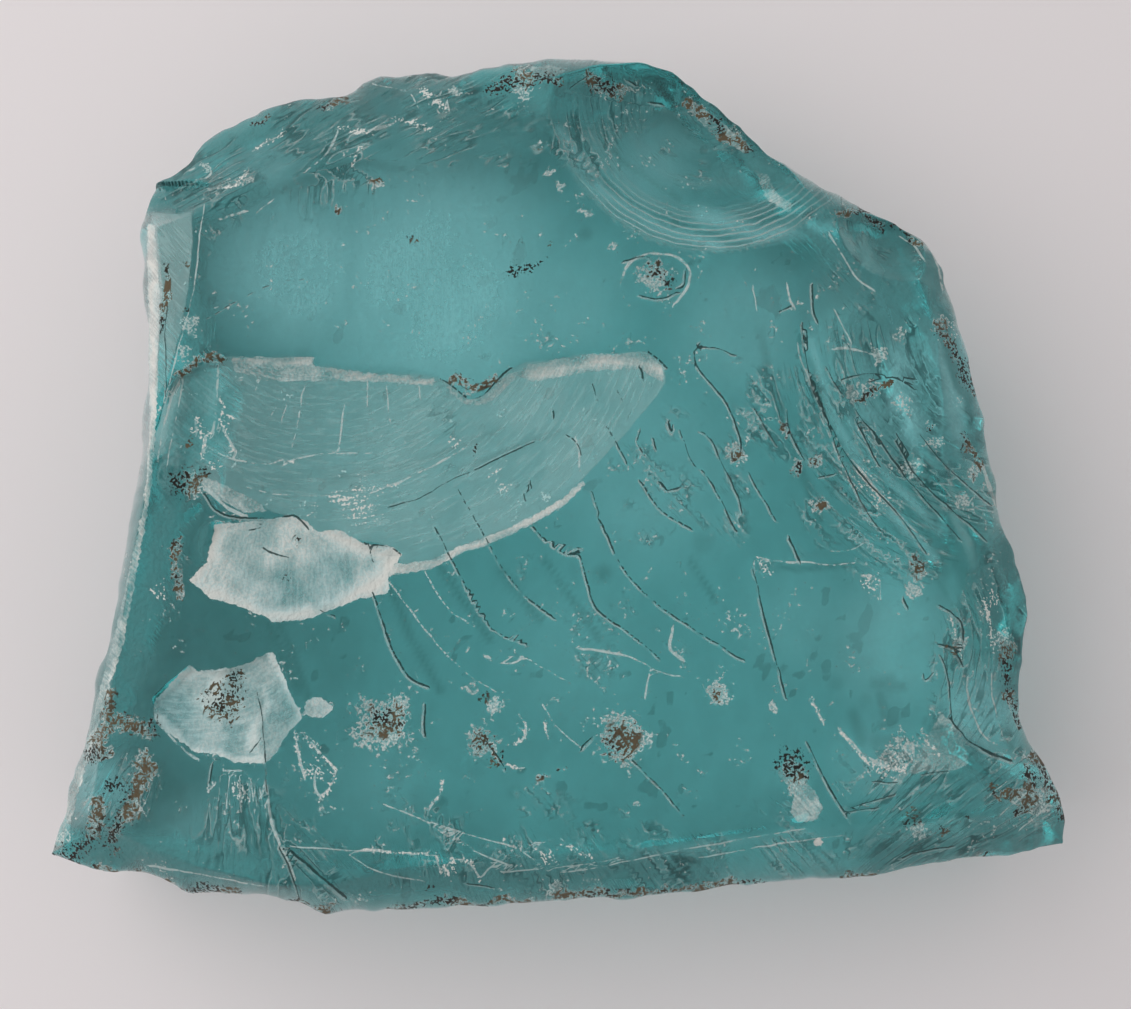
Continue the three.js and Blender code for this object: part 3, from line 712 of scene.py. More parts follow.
    strikes: tuple[Strike, ...] = (
        Strike(300, 300, WHITE_FLAKE, Spread.RAYS),
        Strike(190, 560, SPLIT_FLAKE, Spread.RINGS),
        Strike(320, 250, MILKY_SHELF, Spread.RINGS),
        Strike(-200, 420, path(200, 230, 250, 190, 300, 175, 365, 160, 549, 171, 560, 50, 300, 50,
            140, 190), Spread.RAYS),
        Strike(1030, 310, path(770, 300, 770, 400, 810, 520, 850, 580, 900, 640, 1000, 640, 1010, 560,
            985, 434, 950, 320, 900, 330, 830, 310), Spread.RINGS),
        Strike(420, -900, path(215, 240, 250, 200, 330, 180, 480, 190, 600, 250, 640, 330, 500, 350,
            300, 345, 200, 350), Spread.RAYS),
        Strike(230, 560, path(150, 722, 210, 760, 268, 766, 300, 900, 40, 880, 90, 700), Spread.RAYS),
        Strike(700, 1000, path(850, 775, 1000, 745, 1080, 790, 1080, 870, 850, 880), Spread.RAYS),
        Strike(250, 300, path(550, 820, 840, 815, 840, 900, 380, 920, 360, 800), Spread.RAYS),
        Strike(860, 650, path(925, 590, 1010, 560, 1040, 760, 940, 740), Spread.RINGS),
    )


@dataclass(frozen=True)
class Strengths:
    """How strong the marks are, from 0 to 1, before the material breaks them up.

    Rims, patches and clouds add to the white of flakes, films and milk, and thin places take off it.
    Blotches gather the crust into clumps.
    """

    flake: float = 0.64
    flake_rim: float = 0.36
    flake_patch: float = 0.27
    flake_thin: float = 0.47
    film: float = 0.16
    film_rim: float = 0.35
    film_patch: float = 0.3
    milk: float = 0.17
    milk_cloud: float = 0.10
    crust_clumps: float = 1.4
    # Painted highlights, painted shade in the dark teal sheet, and the veil of dust and painted sheen.
    glint: float = 0.75
    painted_shade: float = 0.9
    dust_and_sheen: float = 0.27
    cloud_shade: float = 0.06
    haze_shade: float = 0.15
    edge_shade: float = 0.9


@dataclass
class Ground:
    """Places of the upper face, and what all the marks there share.

    Attributes:
        points: (n, 3) places in millimetres.
        seen: pixel column and row of each place.
        ragged: the same, moved a little at random, for ragged borders.
        torn: the same, moved further at random, for torn spots and stretches.
        cloud: wide blotches, from 0 to 1.
        mottle: blotches of a few millimetres, from 0 to 1.
    """

    points: Array
    seen: tuple[Array, Array]
    ragged: tuple[Array, Array]
    torn: tuple[Array, Array]
    cloud: Array
    mottle: Array


@dataclass
class Lump:
    """The lump of glass, in millimetres: the sizes of its solid, and the marks of its upper face."""

    view: PhotoView
    marks: Marks = field(default_factory=Marks)
    strengths: Strengths = field(default_factory=Strengths)
    crown_height: float = 55.0
    crown_fall_right: float = 2.5
    crown_fall_front: float = 2.0
    crown_half_width: float = 90.0
    crown_half_depth: float = 75.0
    bevel_bulge: float = 0.6
    bevel_chips: float = 0.5
    bevel_chip_size: float = 7.0
    scoop_bend: float = 1.5
    ledge_width: float = 0.7
    pit_raggedness: float = 0.25
    pit_roughness: float = 0.5
    pit_grain: float = 1.6
    pit_rim: float = 0.2
    undercut: float = 2.2
    undercut_bend: float = 1.7
    side_lip: float = 0.25
    side_ripple: float = 0.12
    side_ripple_size: float = 0.45
    side_roughness: float = 0.35
    side_grain: float = 6.0
    stretch_points: int = 64
    edge_crowding: float = 0.45
    cells_across: int = 300
    cells_deep: int = 240
    side_rows: int = 20
    base_rings: int = 3
    chipping: float = 0.9
    chip_size: float = 6.0
    pixel_size: float = 0.18
    line_reach: float = 0.8
    line_margin: float = 16.0
    line_wander: float = 1.2
    streak_turn: float = radians(48.0)
    streak_radius: float = 12.0
    zone_border: float = 0.6
    zone_fade: float = 2.5
    scoop_fade: float = 1.5
    streak_relief: float = 0.12
    streak_across: float = 1.6
    streak_along: float = 12.0
    stroke_relief: float = 0.3
    stroke_across: float = 1.3
    stroke_along: float = 9.0
    relief_start: float = 30.0
    relief_full: float = 45.0
    side_marks: float = 0.25
    side_fray: float = 0.3
    edge_shade_start: float = 0.5
    edge_shade_reach: float = 6.0
    swells: tuple[Wave, ...] = (
        Wave(0.35, 0.071, 0.043, 0.6), Wave(0.25, -0.052, 0.118, 2.1), Wave(0.15, 0.19, 0.16),
    )
    undercut_waves: tuple[Wave, ...] = (Wave(0.7, 0.09, 0.11), Wave(0.7, 0.13, -0.07))
    left_edge: tuple[Place, ...] = (
        (-93.5, -68, 30), (-90.5, -56.5, 30), (-87.5, -46.5, 29), (-85.5, -34.5, 28), (-83, -25, 27),
        (-81, -13.5, 26), (-79.5, -3, 26), (-78.5, 12, 26), (-78, 26, 26), (-79.5, 42, 27),
        (-79, 51.5, 29), (-76, 57, 32),
    )
    rear_edge: tuple[Place, ...] = (
        (-76, 57, 32), (-71.5, 59, 35), (-66, 63.5, 37), (-59.5, 67.5, 38), (-53, 70, 38),
        (-48, 71.5, 38), (-39, 72.5, 38), (-36.5, 74.5, 38), (-31, 76, 38), (-23.5, 76, 39),
        (-20.5, 75.5, 39), (-17, 76.5, 38), (-7, 78.5, 37), (2, 79, 36), (12, 78.5, 36), (20, 77, 37),
        (28, 71, 39), (33.5, 64.5, 40), (45, 56, 40), (53.5, 51.5, 39), (66.5, 45.5, 37),
    )
    right_edge: tuple[Place, ...] = (
        (91.5, -66, 34), (92, -61.5, 35), (90, -56, 36), (87, -50, 37), (83.5, -43.5, 38),
        (83.5, -38, 38), (84.5, -21, 38), (82.5, -14, 38), (80, -5, 39), (77.5, 8.5, 40), (75, 21, 40),
        (72, 32, 40), (69, 42, 38), (66.5, 45.5, 37),
    )
    front_edge: tuple[Place, ...] = (
        (-93.5, -68, 30), (-84, -70.5, 33), (-73.5, -71.5, 36), (-68, -73.5, 37), (-59, -74.5, 38),
        (-47, -75.5, 39), (-42.5, -77, 40), (-29.5, -77, 41), (-0.5, -75, 42), (14.5, -74.5, 42),
        (36.5, -72, 41), (56.5, -71, 40), (67, -69, 38), (81, -67.5, 36), (91.5, -66, 34),
    )
    rim: tuple[Place, ...] = (
        (-72, 44.5), (-70.5, 32.5), (-71, 15), (-71.5, -1), (-75.5, -22), (-80, -44), (-83, -60),
        (-72.5, -65), (-62, -68.5), (-50, -71), (-39.5, -71), (-28.5, -68.5), (-7.5, -66.5), (14, -65),
        (42.5, -61), (59, -60.5), (76, -59), (78, -55), (73.5, -51.5), (68, -45.5), (66.5, -32.5),
        (67.5, -22), (68, -11.5), (67.5, 0.5), (67, 13), (66.5, 24), (64, 33), (61.5, 38.5),
        (53.5, 43.5), (43, 49), (30.5, 58), (23.5, 66), (14.5, 71), (0, 70), (-2, 57), (-14, 55.5),
        (-19.5, 58.5), (-27, 54.5), (-35, 56), (-46.5, 52.5), (-56, 51), (-63, 46.5),
    )
    facets: tuple[Facet, ...] = (
        Facet(((-62, 52), (-63, 47.5), (-64, 42.5), (-64.5, 34), (-66, 26), (-67.5, 19.5), (-70, 9),
               (-74, -2)),
              ((-90, -2), (-90, 60)), 0.55),
        Facet(((-84, -12), (-65, -18.5), (-58, -22.5), (-50, -26), (-40.5, -24), (-29.5, -21), (-45, -42.5),
               (-51.5, -49), (-51, -55.5), (-50, -62), (-44, -85)), ((-110, -85), (-110, -12)), 0.24),
    )
    scoops: tuple[Scoop, ...] = (
        Scoop(27, 69, 29.5, 39.5, 4, 0.35),
        Scoop(61, 46, 12, 42, 2, 0.25),
    )
    scars: tuple[Scar, ...] = (
        Scar(((-66.5, 17), (-63, 19.5), (-58.5, 21), (-43.5, 21), (-41, 18.5), (-26, 18), (-19.5, 16),
              (-16.5, 13.5), (-12.5, 14.5), (-9, 18.5), (-6, 19.5), (4.5, 21.5), (15, 22), (18, 19.5),
              (19, 16.5)),
             ((14, 8), (9, 2), (3.5, -2.5), (-5, -7.5), (-12, -11), (-19.5, -13), (-28, -13.5),
              (-35.5, -11.5), (-42.5, -10), (-50.5, -6.5), (-61, -1), (-67, 0.5), (-70, 2.5), (-70.5, 6),
              (-68.5, 13.5)), 2.6),
        Scar(((-60.5, -9), (-47, -7.5), (-38.5, -10), (-33.5, -12.5), (-27.5, -14)),
             ((-30, -17.5), (-29.5, -21), (-40.5, -24), (-50, -26), (-58, -22.5), (-65, -18.5),
              (-62, -15.5)), 1.6),
        Scar(((-71, -39), (-64.5, -33.5), (-59, -34.5), (-51, -31), (-45, -42.5)),
             ((-51, -49.5), (-57.5, -50.5), (-66, -47), (-71, -43)), 1.8),
        Scar(((49, -43.5), (53, -43.5), (59.5, -45.5), (68, -43.5)),
             ((67.5, -52), (62.5, -52.5), (55, -51.5), (53, -48.5)), 1.6),
    )
    pits: tuple[Hollow, ...] = (
        Hollow(17, 34.5, 5.5, 1.4), Hollow(-32, -42.5, 6, 1.5), Hollow(-13.5, -48, 3.8, 1.1),
        Hollow(-13, -38.5, 3.6, 0.9), Hollow(12, -46.5, 5.5, 1.2), Hollow(26.5, -39, 3.6, 1),
        Hollow(40, -54.5, 6, 1.5), Hollow(54, 15, 4.2, 1), Hollow(63.5, -16.5, 3.4, 1),
        Hollow(-65, -1.5, 5, 1.4), Hollow(31, 3.5, 3, 0.8),
    )
    grooves: tuple[Groove, ...] = (
        Groove(((43, 26.5), (44, 17), (48.5, 8), (53, 1), (58.5, -5.5)), 2.6, 1),
        Groove(((20.5, 5.5), (27, -3), (32.5, -12), (35.5, -24), (39, -38.5)), 2.2, 0.7),
        Groove(((56, 26), (61, 11), (67, -4), (73, -19), (77, -34)), 2.8, -0.6),
        Groove(((63, 26), (69, 8), (75, -10), (80, -26)), 2.8, -0.7),
        Groove(((34.5, -14.5), (39.5, -15.5), (47, -16.5), (50.5, -15.5)), 2.4, 0.7),
        Groove(((68, -45.5), (72, -48.5), (80, -53), (88, -55)), 3, -1.5),
    )
    corner_undercuts: tuple[Hollow, ...] = (
        Hollow(-96, -69, 34, 3.5), Hollow(95, -66, 30, 3), Hollow(-78, 56, 26, 2.5), Hollow(69, 46, 24, 2),
        Hollow(-79, 20, 42, 5.5),
    )
    side_hollows: tuple[Hollow, ...] = (
        Hollow(-72, -73, 24, 4.5, 18), Hollow(-32, -77, 27, 5, 22), Hollow(10, -75, 26, 4.5, 17),
        Hollow(46, -72, 22, 4, 23), Hollow(74, -68, 18, 3.5, 16), Hollow(89, -50, 19, 3.5, 20),
        Hollow(84, -16, 25, 4.5, 22), Hollow(76, 17, 20, 4, 17), Hollow(69, 39, 13, 3, 24),
        Hollow(48, 54, 22, 4.5, 19), Hollow(22, 76, 17, 4, 22), Hollow(-8, 78, 26, 5.5, 16),
        Hollow(-38, 74, 19, 4.5, 22), Hollow(-64, 64, 20, 4.5, 16), Hollow(-80, 42, 20, 4, 12),
        Hollow(-80, 8, 28, 5.5, 6), Hollow(-84, -28, 26, 4.5, 12), Hollow(-90, -56, 20, 3.5, 14),
    )

    def edge_points(self, edge: Sequence[Place], cells: int) -> Array:
        """Space points along a smooth curve through the corners of an edge.

        Each stretch is a cubic whose slopes at its ends come from its neighbours, timed by the square
        root of their spacing, and small chips move it a little. The points crowd towards both ends, so
        that the bevels get small cells.

        Args:
            edge: corners of the edge, (x, y, height).
            cells: number of cells along it.

        Returns:
            (cells + 1, 3) points.
        """
        p = np.array(edge, dtype=float)
        p = np.vstack([2 * p[0] - p[1], p, 2 * p[-1] - p[-2]])
        t = np.linspace(0.0, 1.0, self.stretch_points, endpoint=False)[:, None]
        pieces = []
        for a, b, c, d in zip(p[:-3], p[1:-2], p[2:-1], p[3:]):
            first, middle, last = (np.linalg.norm(q - r) ** 0.5 for q, r in ((b, a), (c, b), (d, c)))
            start = ((b - a) / first - (c - a) / (first + middle) + (c - b) / middle) * middle
            end = ((c - b) / middle - (d - b) / (middle + last) + (d - c) / last) * middle
            pieces.append(b + start * t + (3 * (c - b) - 2 * start - end) * t**2
                          + (2 * (b - c) + start + end) * t**3)
        curve = np.vstack(pieces + [p[-2:-1]])
        x, y = curve[:, 0].copy(), curve[:, 1].copy()
        curve[:, 0] += self.chipping * rough(x, y, self.chip_size, 91.0)
        curve[:, 1] += self.chipping * rough(x, y, self.chip_size, 97.0)
        length = np.concatenate([[0.0], np.cumsum(np.linalg.norm(np.diff(curve, axis=0), axis=1))])
        even = np.linspace(0.0, 1.0, cells + 1)
        crowded = (even - self.edge_crowding * np.sin(2 * np.pi * even) / (2 * np.pi)) * length[-1]
        return np.stack([np.interp(crowded, length, curve[:, k]) for k in range(3)], axis=1)

    def crown(self, x: Array, y: Array) -> Array:
        """Give the height of the broad upper face.

        It is a dome that falls with the square of the way to the right and to the front, less the
        facets, plus the slow swells of a broken face: crossing waves that are tenths of a mm high.

        Args:
            x: first coordinate of each place.
            y: second coordinate of each place.

        Returns:
            One height for each place.
        """
        z = (self.crown_height - self.crown_fall_right * np.maximum(0, x / self.crown_half_width) ** 2
             - self.crown_fall_front * np.maximum(0, -y / self.crown_half_depth) ** 2)
        for facet in self.facets:
            drop = facet.slope * nearest_on(facet.crease, x, y).distance
            z = z - np.where(inside(facet.crease + facet.far, x, y), drop, 0.0)
        for wave in self.swells:
            z = z + wave.at(x, y)
        return z

    def cuts(self, x: Array, y: Array) -> Array:
        """Add up how deep the scars, pits and grooves cut into the upper face.

        A scar drops at its ledge and rises evenly to its feather edge. A pit is a ragged bowl, a smooth
        step of the way out, with a low rim that is a narrow bell just outside it. A groove is a bell
        across its line: the square of 1 less the square of the way out.

        Args:
            x: first coordinate of each place.
            y: second coordinate of each place.

        Returns:
            One depth for each place.
        """
        depth = np.zeros_like(x)
        for scar in self.scars:
            to_ledge = nearest_on(scar.ledge, x, y).distance
            to_feather = nearest_on(scar.feather, x, y).distance
            ramp = smooth(to_ledge, 0.0, self.ledge_width) * to_feather / (to_feather + to_ledge + 1e-9)
            depth += np.where(inside(scar.ledge + scar.feather, x, y), scar.depth * ramp, 0.0)
        for pit in self.pits:
            ragged = 1 + self.pit_raggedness * rough(x, y, pit.reach * 0.6, pit.x, 2)
            out = np.hypot(x - pit.x, y - pit.y) / pit.reach * ragged
            floor = 1 + self.pit_roughness * rough(x, y, self.pit_grain, pit.y, 2)
            depth += pit.depth * (1 - smooth(out, 0.2, 1.0)) * floor
            depth -= self.pit_rim * pit.depth * np.exp(-30 * (out - 1.05) ** 2)
        for groove in self.grooves:
            out = nearest_on(groove.line, x, y).distance / groove.width
            depth += groove.depth * np.clip(1 - out * out, 0, 1) ** 2
        return depth

    def upper(self, outline: Array, x: Array, y: Array) -> Array:
        """Give the height of the upper surface over places inside the widest line.

        Between the widest line and the rim the height goes from one to the other by the share of the
        way across. A scoop is a bowl with round ripples that cuts the face where it is lower.

        Args:
            outline: (n, 3) points of the widest line.
            x: first coordinate of each place.
            y: second coordinate of each place.

        Returns:
            One height for each place.
        """
        edge = nearest_on([tuple(p) for p in outline], x, y, closed=True)
        to_rim = nearest_on(self.rim, x, y, closed=True).distance
        share = np.where(inside(self.rim, x, y), 1.0, edge.distance / (edge.distance + to_rim + 1e-9))
        crown = self.crown(x, y)
        z = edge.height + (crown - edge.height) * share**self.bevel_bulge
        for scoop in self.scoops:
            out = np.hypot(x - scoop.x, y - scoop.y) / scoop.reach
            wave = scoop.ripple_depth * np.sin(2 * np.pi * scoop.ripples * out) * np.minimum(1, 3 * out)
            z = np.minimum(z, scoop.floor + (crown - scoop.floor) * out**self.scoop_bend + wave)
        on_bevel = smooth(share, 0.02, 0.3) * (1 - smooth(share, 0.9, 1.0))
        chips = self.bevel_chips * rough(x, y, self.bevel_chip_size, 5.0) * on_bevel
        return np.maximum(edge.height, z - self.cuts(x, y) * share + chips)

    def side(self, edge: Array, down: Array) -> Array:
        """Carry the widest line down to the underside.

        A point moves straight towards the middle by the undercut, times its share of the way down
        to a power, and by the deepest of the shell-shaped breaks there, so that two of them meet in a
        sharp ridge. Ripples run round the middle of each break.

        Args:
            edge: (n, 3) points of the widest line.
            down: (rows,) share of the way down, 0 at the widest line and 1 at the underside.

        Returns:
            (rows, n, 3) points.
        """
        x, y, height = edge[None, :, 0], edge[None, :, 1], edge[None, :, 2]
        share = down[:, None]
        inset = self.undercut
        for wave in self.undercut_waves:
            inset = inset + wave.at(x, y)
        for corner in self.corner_undercuts:
            out = np.hypot(x - corner.x, y - corner.y) / corner.reach
            inset = inset + corner.depth * np.exp(-2 * out * out)
        inset = inset * share**self.undercut_bend
        z = height * (1 - share)
        deepest = np.zeros_like(inset)
        for hollow in self.side_hollows:
            away = np.sqrt((x - hollow.x) ** 2 + (y - hollow.y) ** 2 + (z - hollow.z) ** 2)
            out = away / hollow.reach
            ripple = self.side_ripple * np.sin(away / self.side_ripple_size)
            ripple = ripple * np.clip(2 * out * (1 - out), 0, 1)
            deepest = np.maximum(deepest, hollow.depth * (1 - out * out) + ripple)
        inset = inset + deepest * smooth(share, 0.0, self.side_lip)
        around = np.cumsum(np.hypot(*np.diff(edge[:, :2], axis=0, append=edge[:1, :2]).T))[None, :]
        grains = rough(around + 0 * z, z, self.side_grain, 9.0) * smooth(share, 0.0, 0.1)
        keep = 1 - (inset + self.side_roughness * grains) / np.hypot(x, y)
        return np.stack(np.broadcast_arrays(x * keep, y * keep, z), axis=2)

    def surface(self) -> tuple[Array, Array, Array]:
        """Work out the whole closed surface.

        The upper face blends its four edges: each place is the blend of the front and rear edges, plus
        the blend of the left and right edges, less the blend of the four corners. Its edge ring is then
        carried down the sides, and drawn together in rings on the flat underside.

        Returns:
            (n, 3) points in millimetres, (m, 4) quads and triangles with a repeated last corner, and
            the numbers of the points of the edge ring.
        """
        across, deep = self.cells_across, self.cells_deep
        left, right = self.edge_points(self.left_edge, deep), self.edge_points(self.right_edge, deep)
        rear, front = self.edge_points(self.rear_edge, across), self.edge_points(self.front_edge, across)
        u = np.linspace(0, 1, across + 1)[None, :, None]
        v = np.linspace(0, 1, deep + 1)[:, None, None]
        corners = ((1 - v) * ((1 - u) * front[0] + u * front[-1]) + v * ((1 - u) * rear[0] + u * rear[-1]))
        grid = (1 - v) * front[None] + v * rear[None] + (1 - u) * left[:, None] + u * right[:, None] - corners
        ring = np.concatenate([front[:-1], right[:-1], rear[:0:-1], left[:0:-1]])
        inner = grid[1:-1, 1:-1]
        height = self.upper(ring, inner[..., 0].ravel(), inner[..., 1].ravel())
        grid[1:-1, 1:-1, 2] = height.reshape(inner.shape[:2])
        index = np.arange((across + 1) * (deep + 1)).reshape(deep + 1, across + 1)
        cells = np.stack([index[:-1, :-1], index[:-1, 1:], index[1:, 1:], index[1:, :-1]], -1)
        quads = [cells.reshape(-1, 4)]
        ring_index = np.concatenate([index[0, :-1], index[:-1, -1], index[-1, :0:-1], index[:0:-1, 0]])

        rows = self.side(ring, np.linspace(0, 1, self.side_rows + 1)[1:])
        shrink = 1 - np.linspace(0, 1, self.base_rings + 1)[1:-1, None, None]
        rings = np.concatenate([rows, rows[-1:] * shrink])
        below = index.size + np.arange(rings.shape[0] * ring_index.size).reshape(rings.shape[0], -1)
        every = np.vstack([ring_index, below])
        turned = np.roll(every, -1, axis=1)
        quads.append(np.stack([every[:-1], every[1:], turned[1:], turned[:-1]], -1).reshape(-1, 4))
        middle = below[-1, -1] + 1
        last = every[-1]
        quads.append(np.stack([np.roll(last, -1), last, np.full_like(last, middle),
                               np.full_like(last, middle)], -1))
        points = np.vstack([grid.reshape(-1, 3), rings.reshape(-1, 3), [[0.0, 0.0, 0.0]]])
        return points, np.vstack(quads), ring_index

    def centre(self, points: Array) -> Array:
        """Give the middle of the box in plan, which is the frame's origin."""
        low, high = points.min(axis=0), points.max(axis=0)
        return np.array([(low[0] + high[0]) / 2, (low[1] + high[1]) / 2, 0.0])

    def line_values(self, family: Sequence[Line], name: str, ground: Ground) -> dict[str, Array]:
        """Work out a family of fine lines at each place of the upper face.

        The sign of the side changes exactly on a line, so its zero is a crisp line even where the
        places are further apart than the line is wide; near says where that zero counts.

        Args:
            family: the lines.
            name: the family's name, which starts the names of its values.
            ground: the places.

        Returns:
            side and near in widths of the line, one value for each place.
        """
        u, v = ground.seen
        near, side, wide = np.full(u.shape, 1e3), np.full(u.shape, 1e3), np.ones(u.shape)
        wander_u, wander_v = moved(u, v, self.line_wander, 12.0, 3.0)
        for line in family:
            left, top = np.min(line.pixels, axis=0) - self.line_margin
            right, low = np.max(line.pixels, axis=0) + self.line_margin
            beside = np.flatnonzero((u > left) & (u < right) & (v > top) & (v < low))
            found = nearest_on(eased(line.pixels), wander_u[beside], wander_v[beside])
            closer = found.distance < near[beside]
            near[beside[closer]] = found.distance[closer]
            side[beside[closer]] = found.side[closer]
            wide[beside[closer]] = line.width
        return {name + "_side": side / wide, name + "_near": near / wide}

    def lift(self, u: Array, v: Array) -> Array:
        """Give how far the ridges and steps raise each place: the lift of each, as a bell across it.

        Args:
            u: pixel column of each place.
            v: pixel row of each place.

        Returns:
            A height in mm for each place, negative where it is lowered.
        """
        height = np.zeros(u.shape)
        for line in self.marks.ridges + self.marks.steps:
            if line.lift:
                away = nearest_on(eased(line.pixels), u, v).distance * self.pixel_size
                height += line.lift * np.exp(-((away / self.line_reach) ** 2))
        return height

    def soft_field(self, places: Sequence[Spot], family: Sequence[Line], u: Array, v: Array) -> Array:
        """Give the strongest of the round spots and broad lines at each place.

        A spot is full up to a third of its radius and falls evenly to 0 at its radius. A line is full
        up to a fifth of its width and falls evenly to 0 at 1.2 widths.

        Args:
            places: the spots.
            family: the lines.
            u: pixel column of each place.
            v: pixel row of each place.

        Returns:
            One value for each place, from 0 to 1 or to the strongest spot.
        """
        value = np.zeros(u.shape)
        for spot in places:
            out = np.hypot(u - spot.u, v - spot.v) / spot.radius
            value = np.maximum(value, spot.strength * np.clip(1.5 - 1.5 * out, 0, 1))
        for line in family:
            out = nearest_on(line.pixels, u, v).distance / line.width
            value = np.maximum(value, np.clip(1.2 - out, 0, 1))
        return value

    def signed_edge(self, outlines: Sequence[Sequence[Pixel]], u: Array, v: Array) -> Array:
        """Give the distance to the nearest of some outlines.

        Args:
            outlines: the outlines, in pixels.
            u: pixel column of each place.
            v: pixel row of each place.

        Returns:
            A distance in mm for each place, negative inside an outline.
        """
        edge = np.full(u.shape, 50.0)
        for outline in outlines:
            away = nearest_on(outline, u, v, closed=True).distance * self.pixel_size
            edge = np.where(inside(outline, u, v), np.minimum(-away, edge), np.minimum(away, edge))
        return edge

    def streak_places(self, ground: Ground) -> dict[str, Array]:
        """Give each place its coordinates across and along the streaks of the glass, in millimetres.

        Streaks run straight over most of the face, out of the strike point within a struck zone, and
        round it where the zone has rings. Across and along change places between the last two.

        Args:
            ground: the places.

        Returns:
            across and along, and strong, which is how strong the streaks are: 0 at the border of a zone.
        """
        u, v = ground.seen
        x, y, _ = ground.points.T
        turn = self.streak_turn
        across = (u * sin(turn) - v * cos(turn)) * self.pixel_size + rough(u, v, 90.0, 41.0)
        along = (u * cos(turn) + v * sin(turn)) * self.pixel_size
        strong = np.ones(u.shape)
        for strike in self.marks.strikes:
            border = nearest_on(strike.outline, u, v, closed=True).distance * self.pixel_size
            strong = np.minimum(strong, smooth(border, self.zone_border, self.zone_fade))
            within = inside(strike.outline, u, v)
            out = np.hypot(u - strike.u, v - strike.v) * self.pixel_size
            round_it = np.arctan2(v - strike.v, u - strike.u) * out[within].mean()
            rings = strike.spread is Spread.RINGS
            across = np.where(within, out if rings else round_it, across)
            along = np.where(within, round_it if rings else out, along)
        for scoop in self.scoops:
            out = np.hypot(x - scoop.x, y - scoop.y)
            round_it = np.arctan2(y - scoop.y, x - scoop.x) * self.streak_radius
            within = out < scoop.reach
            across, along = np.where(within, out, across), np.where(within, round_it, along)
            strong = np.minimum(strong, smooth(abs(out - scoop.reach), self.zone_border, self.scoop_fade))
        return {"across": across, "along": along, "strong": strong}

    def fan(self, points: Array) -> Array:
        """Give where the first scoop has its fine ripples, drawn with painted highlights and shade:
        along its front border.

        Args:
            points: (n, 3) places in millimetres.

        Returns:
            A share from 0 to 1 for each place.
        """
        scoop = self.scoops[0]
        off_x, off_y = points[:, 0] - scoop.x, points[:, 1] - scoop.y
        out, turn = np.hypot(off_x, off_y) / scoop.reach, np.arctan2(off_y, off_x)
        ring = smooth(out, 0.62, 0.9) * (1 - smooth(out, 1.0, 1.03))
        begun = smooth(turn, radians(-165), radians(-120))
        return ring * begun * (1 - smooth(turn, radians(-50), radians(-30)))

    def edge_shade(self, points: Array) -> Array:
        """Give the shade along the outline, save on the left facet.

        Args:
            points: (n, 3) places in millimetres.

        Returns:
            A share from 0 to 1 for each place.
        """
        outline = self.front_edge[:-1] + self.right_edge[:-1] + self.rear_edge[:0:-1] + self.left_edge[:0:-1]
        border = nearest_on(outline, points[:, 0], points[:, 1], closed=True).distance
        on_facet = (1 - smooth(points[:, 0], -76.0, -66.0)) * smooth(points[:, 1], -60.0, -45.0)
        fall = 1 - smooth(border, self.edge_shade_start, self.edge_shade_reach)
        return self.strengths.edge_shade * fall * (1 - on_facet)

    def ground(self, points: Array) -> Ground:
        """Work out what the marks of some places share."""
        u, v = self.view.pixels(points).T
        return Ground(
            points=points, seen=(u, v),
            ragged=moved(u, v, 1.0, 9.0, 21.0, octaves=2), torn=moved(u, v, 9.0, 20.0, 15.0),
            cloud=blotches(u, v, 65.0, 4.0, octaves=4), mottle=blotches(u, v, 18.0, 6.0))

    def white_values(self, ground: Ground) -> dict[str, Array]:
        """Work out the pale marks: flakes, films, milk, crusts, painted glints, and a veil partly of
        dust and partly painted sheen.

        An outline gives the distance in millimetres to its border, negative inside, and the rest are
        shares from 0 to 1.

        Args:
            ground: the places.

        Returns:
            The values by name.
        """
        marks, by = self.marks, self.strengths
        clump = ground.mottle - 0.5
        patch = smooth(ground.mottle, 0.4, 0.62)
        rim = self.soft_field((), marks.rims, *ground.torn)
        thin = self.soft_field(marks.thins, (), *ground.torn)
        crust = self.soft_field(marks.crust, marks.soils, *ground.torn)
        # Painted highlights: the glints.
        glint = by.glint * self.soft_field(marks.glints, (), *ground.seen)
        # Dust and painted sheen: the pale veil from its spots and bands.
        dust_and_sheen = by.dust_and_sheen * self.soft_field(marks.dust_and_sheen, marks.bands, *ground.seen)
        return {
            "rim": rim,
            "thin": thin,
            "flake": self.signed_edge(marks.flakes, *ground.ragged),
            "film": self.signed_edge(marks.films, *ground.ragged) + 0.2 * clump,
            "milk": self.signed_edge(marks.milks, *ground.ragged) + 0.4 * clump,
            "flake_white": (by.flake + by.flake_rim * smooth(rim, 0.1, 0.7) + by.flake_patch * patch
                            - by.flake_thin * thin),
            "film_white": by.film + by.film_patch * patch + by.film_rim * smooth(rim, 0.1, 0.8),
            "milk_white": by.milk + by.milk_cloud * smooth(ground.cloud, 0.4, 0.65),
            "crust": crust + by.crust_clumps * clump,
            "glint": np.maximum(glint, self.soft_field((), marks.sparks, *ground.seen)),
            "dust_and_sheen": dust_and_sheen * (0.7 + 0.6 * ground.cloud),
        }

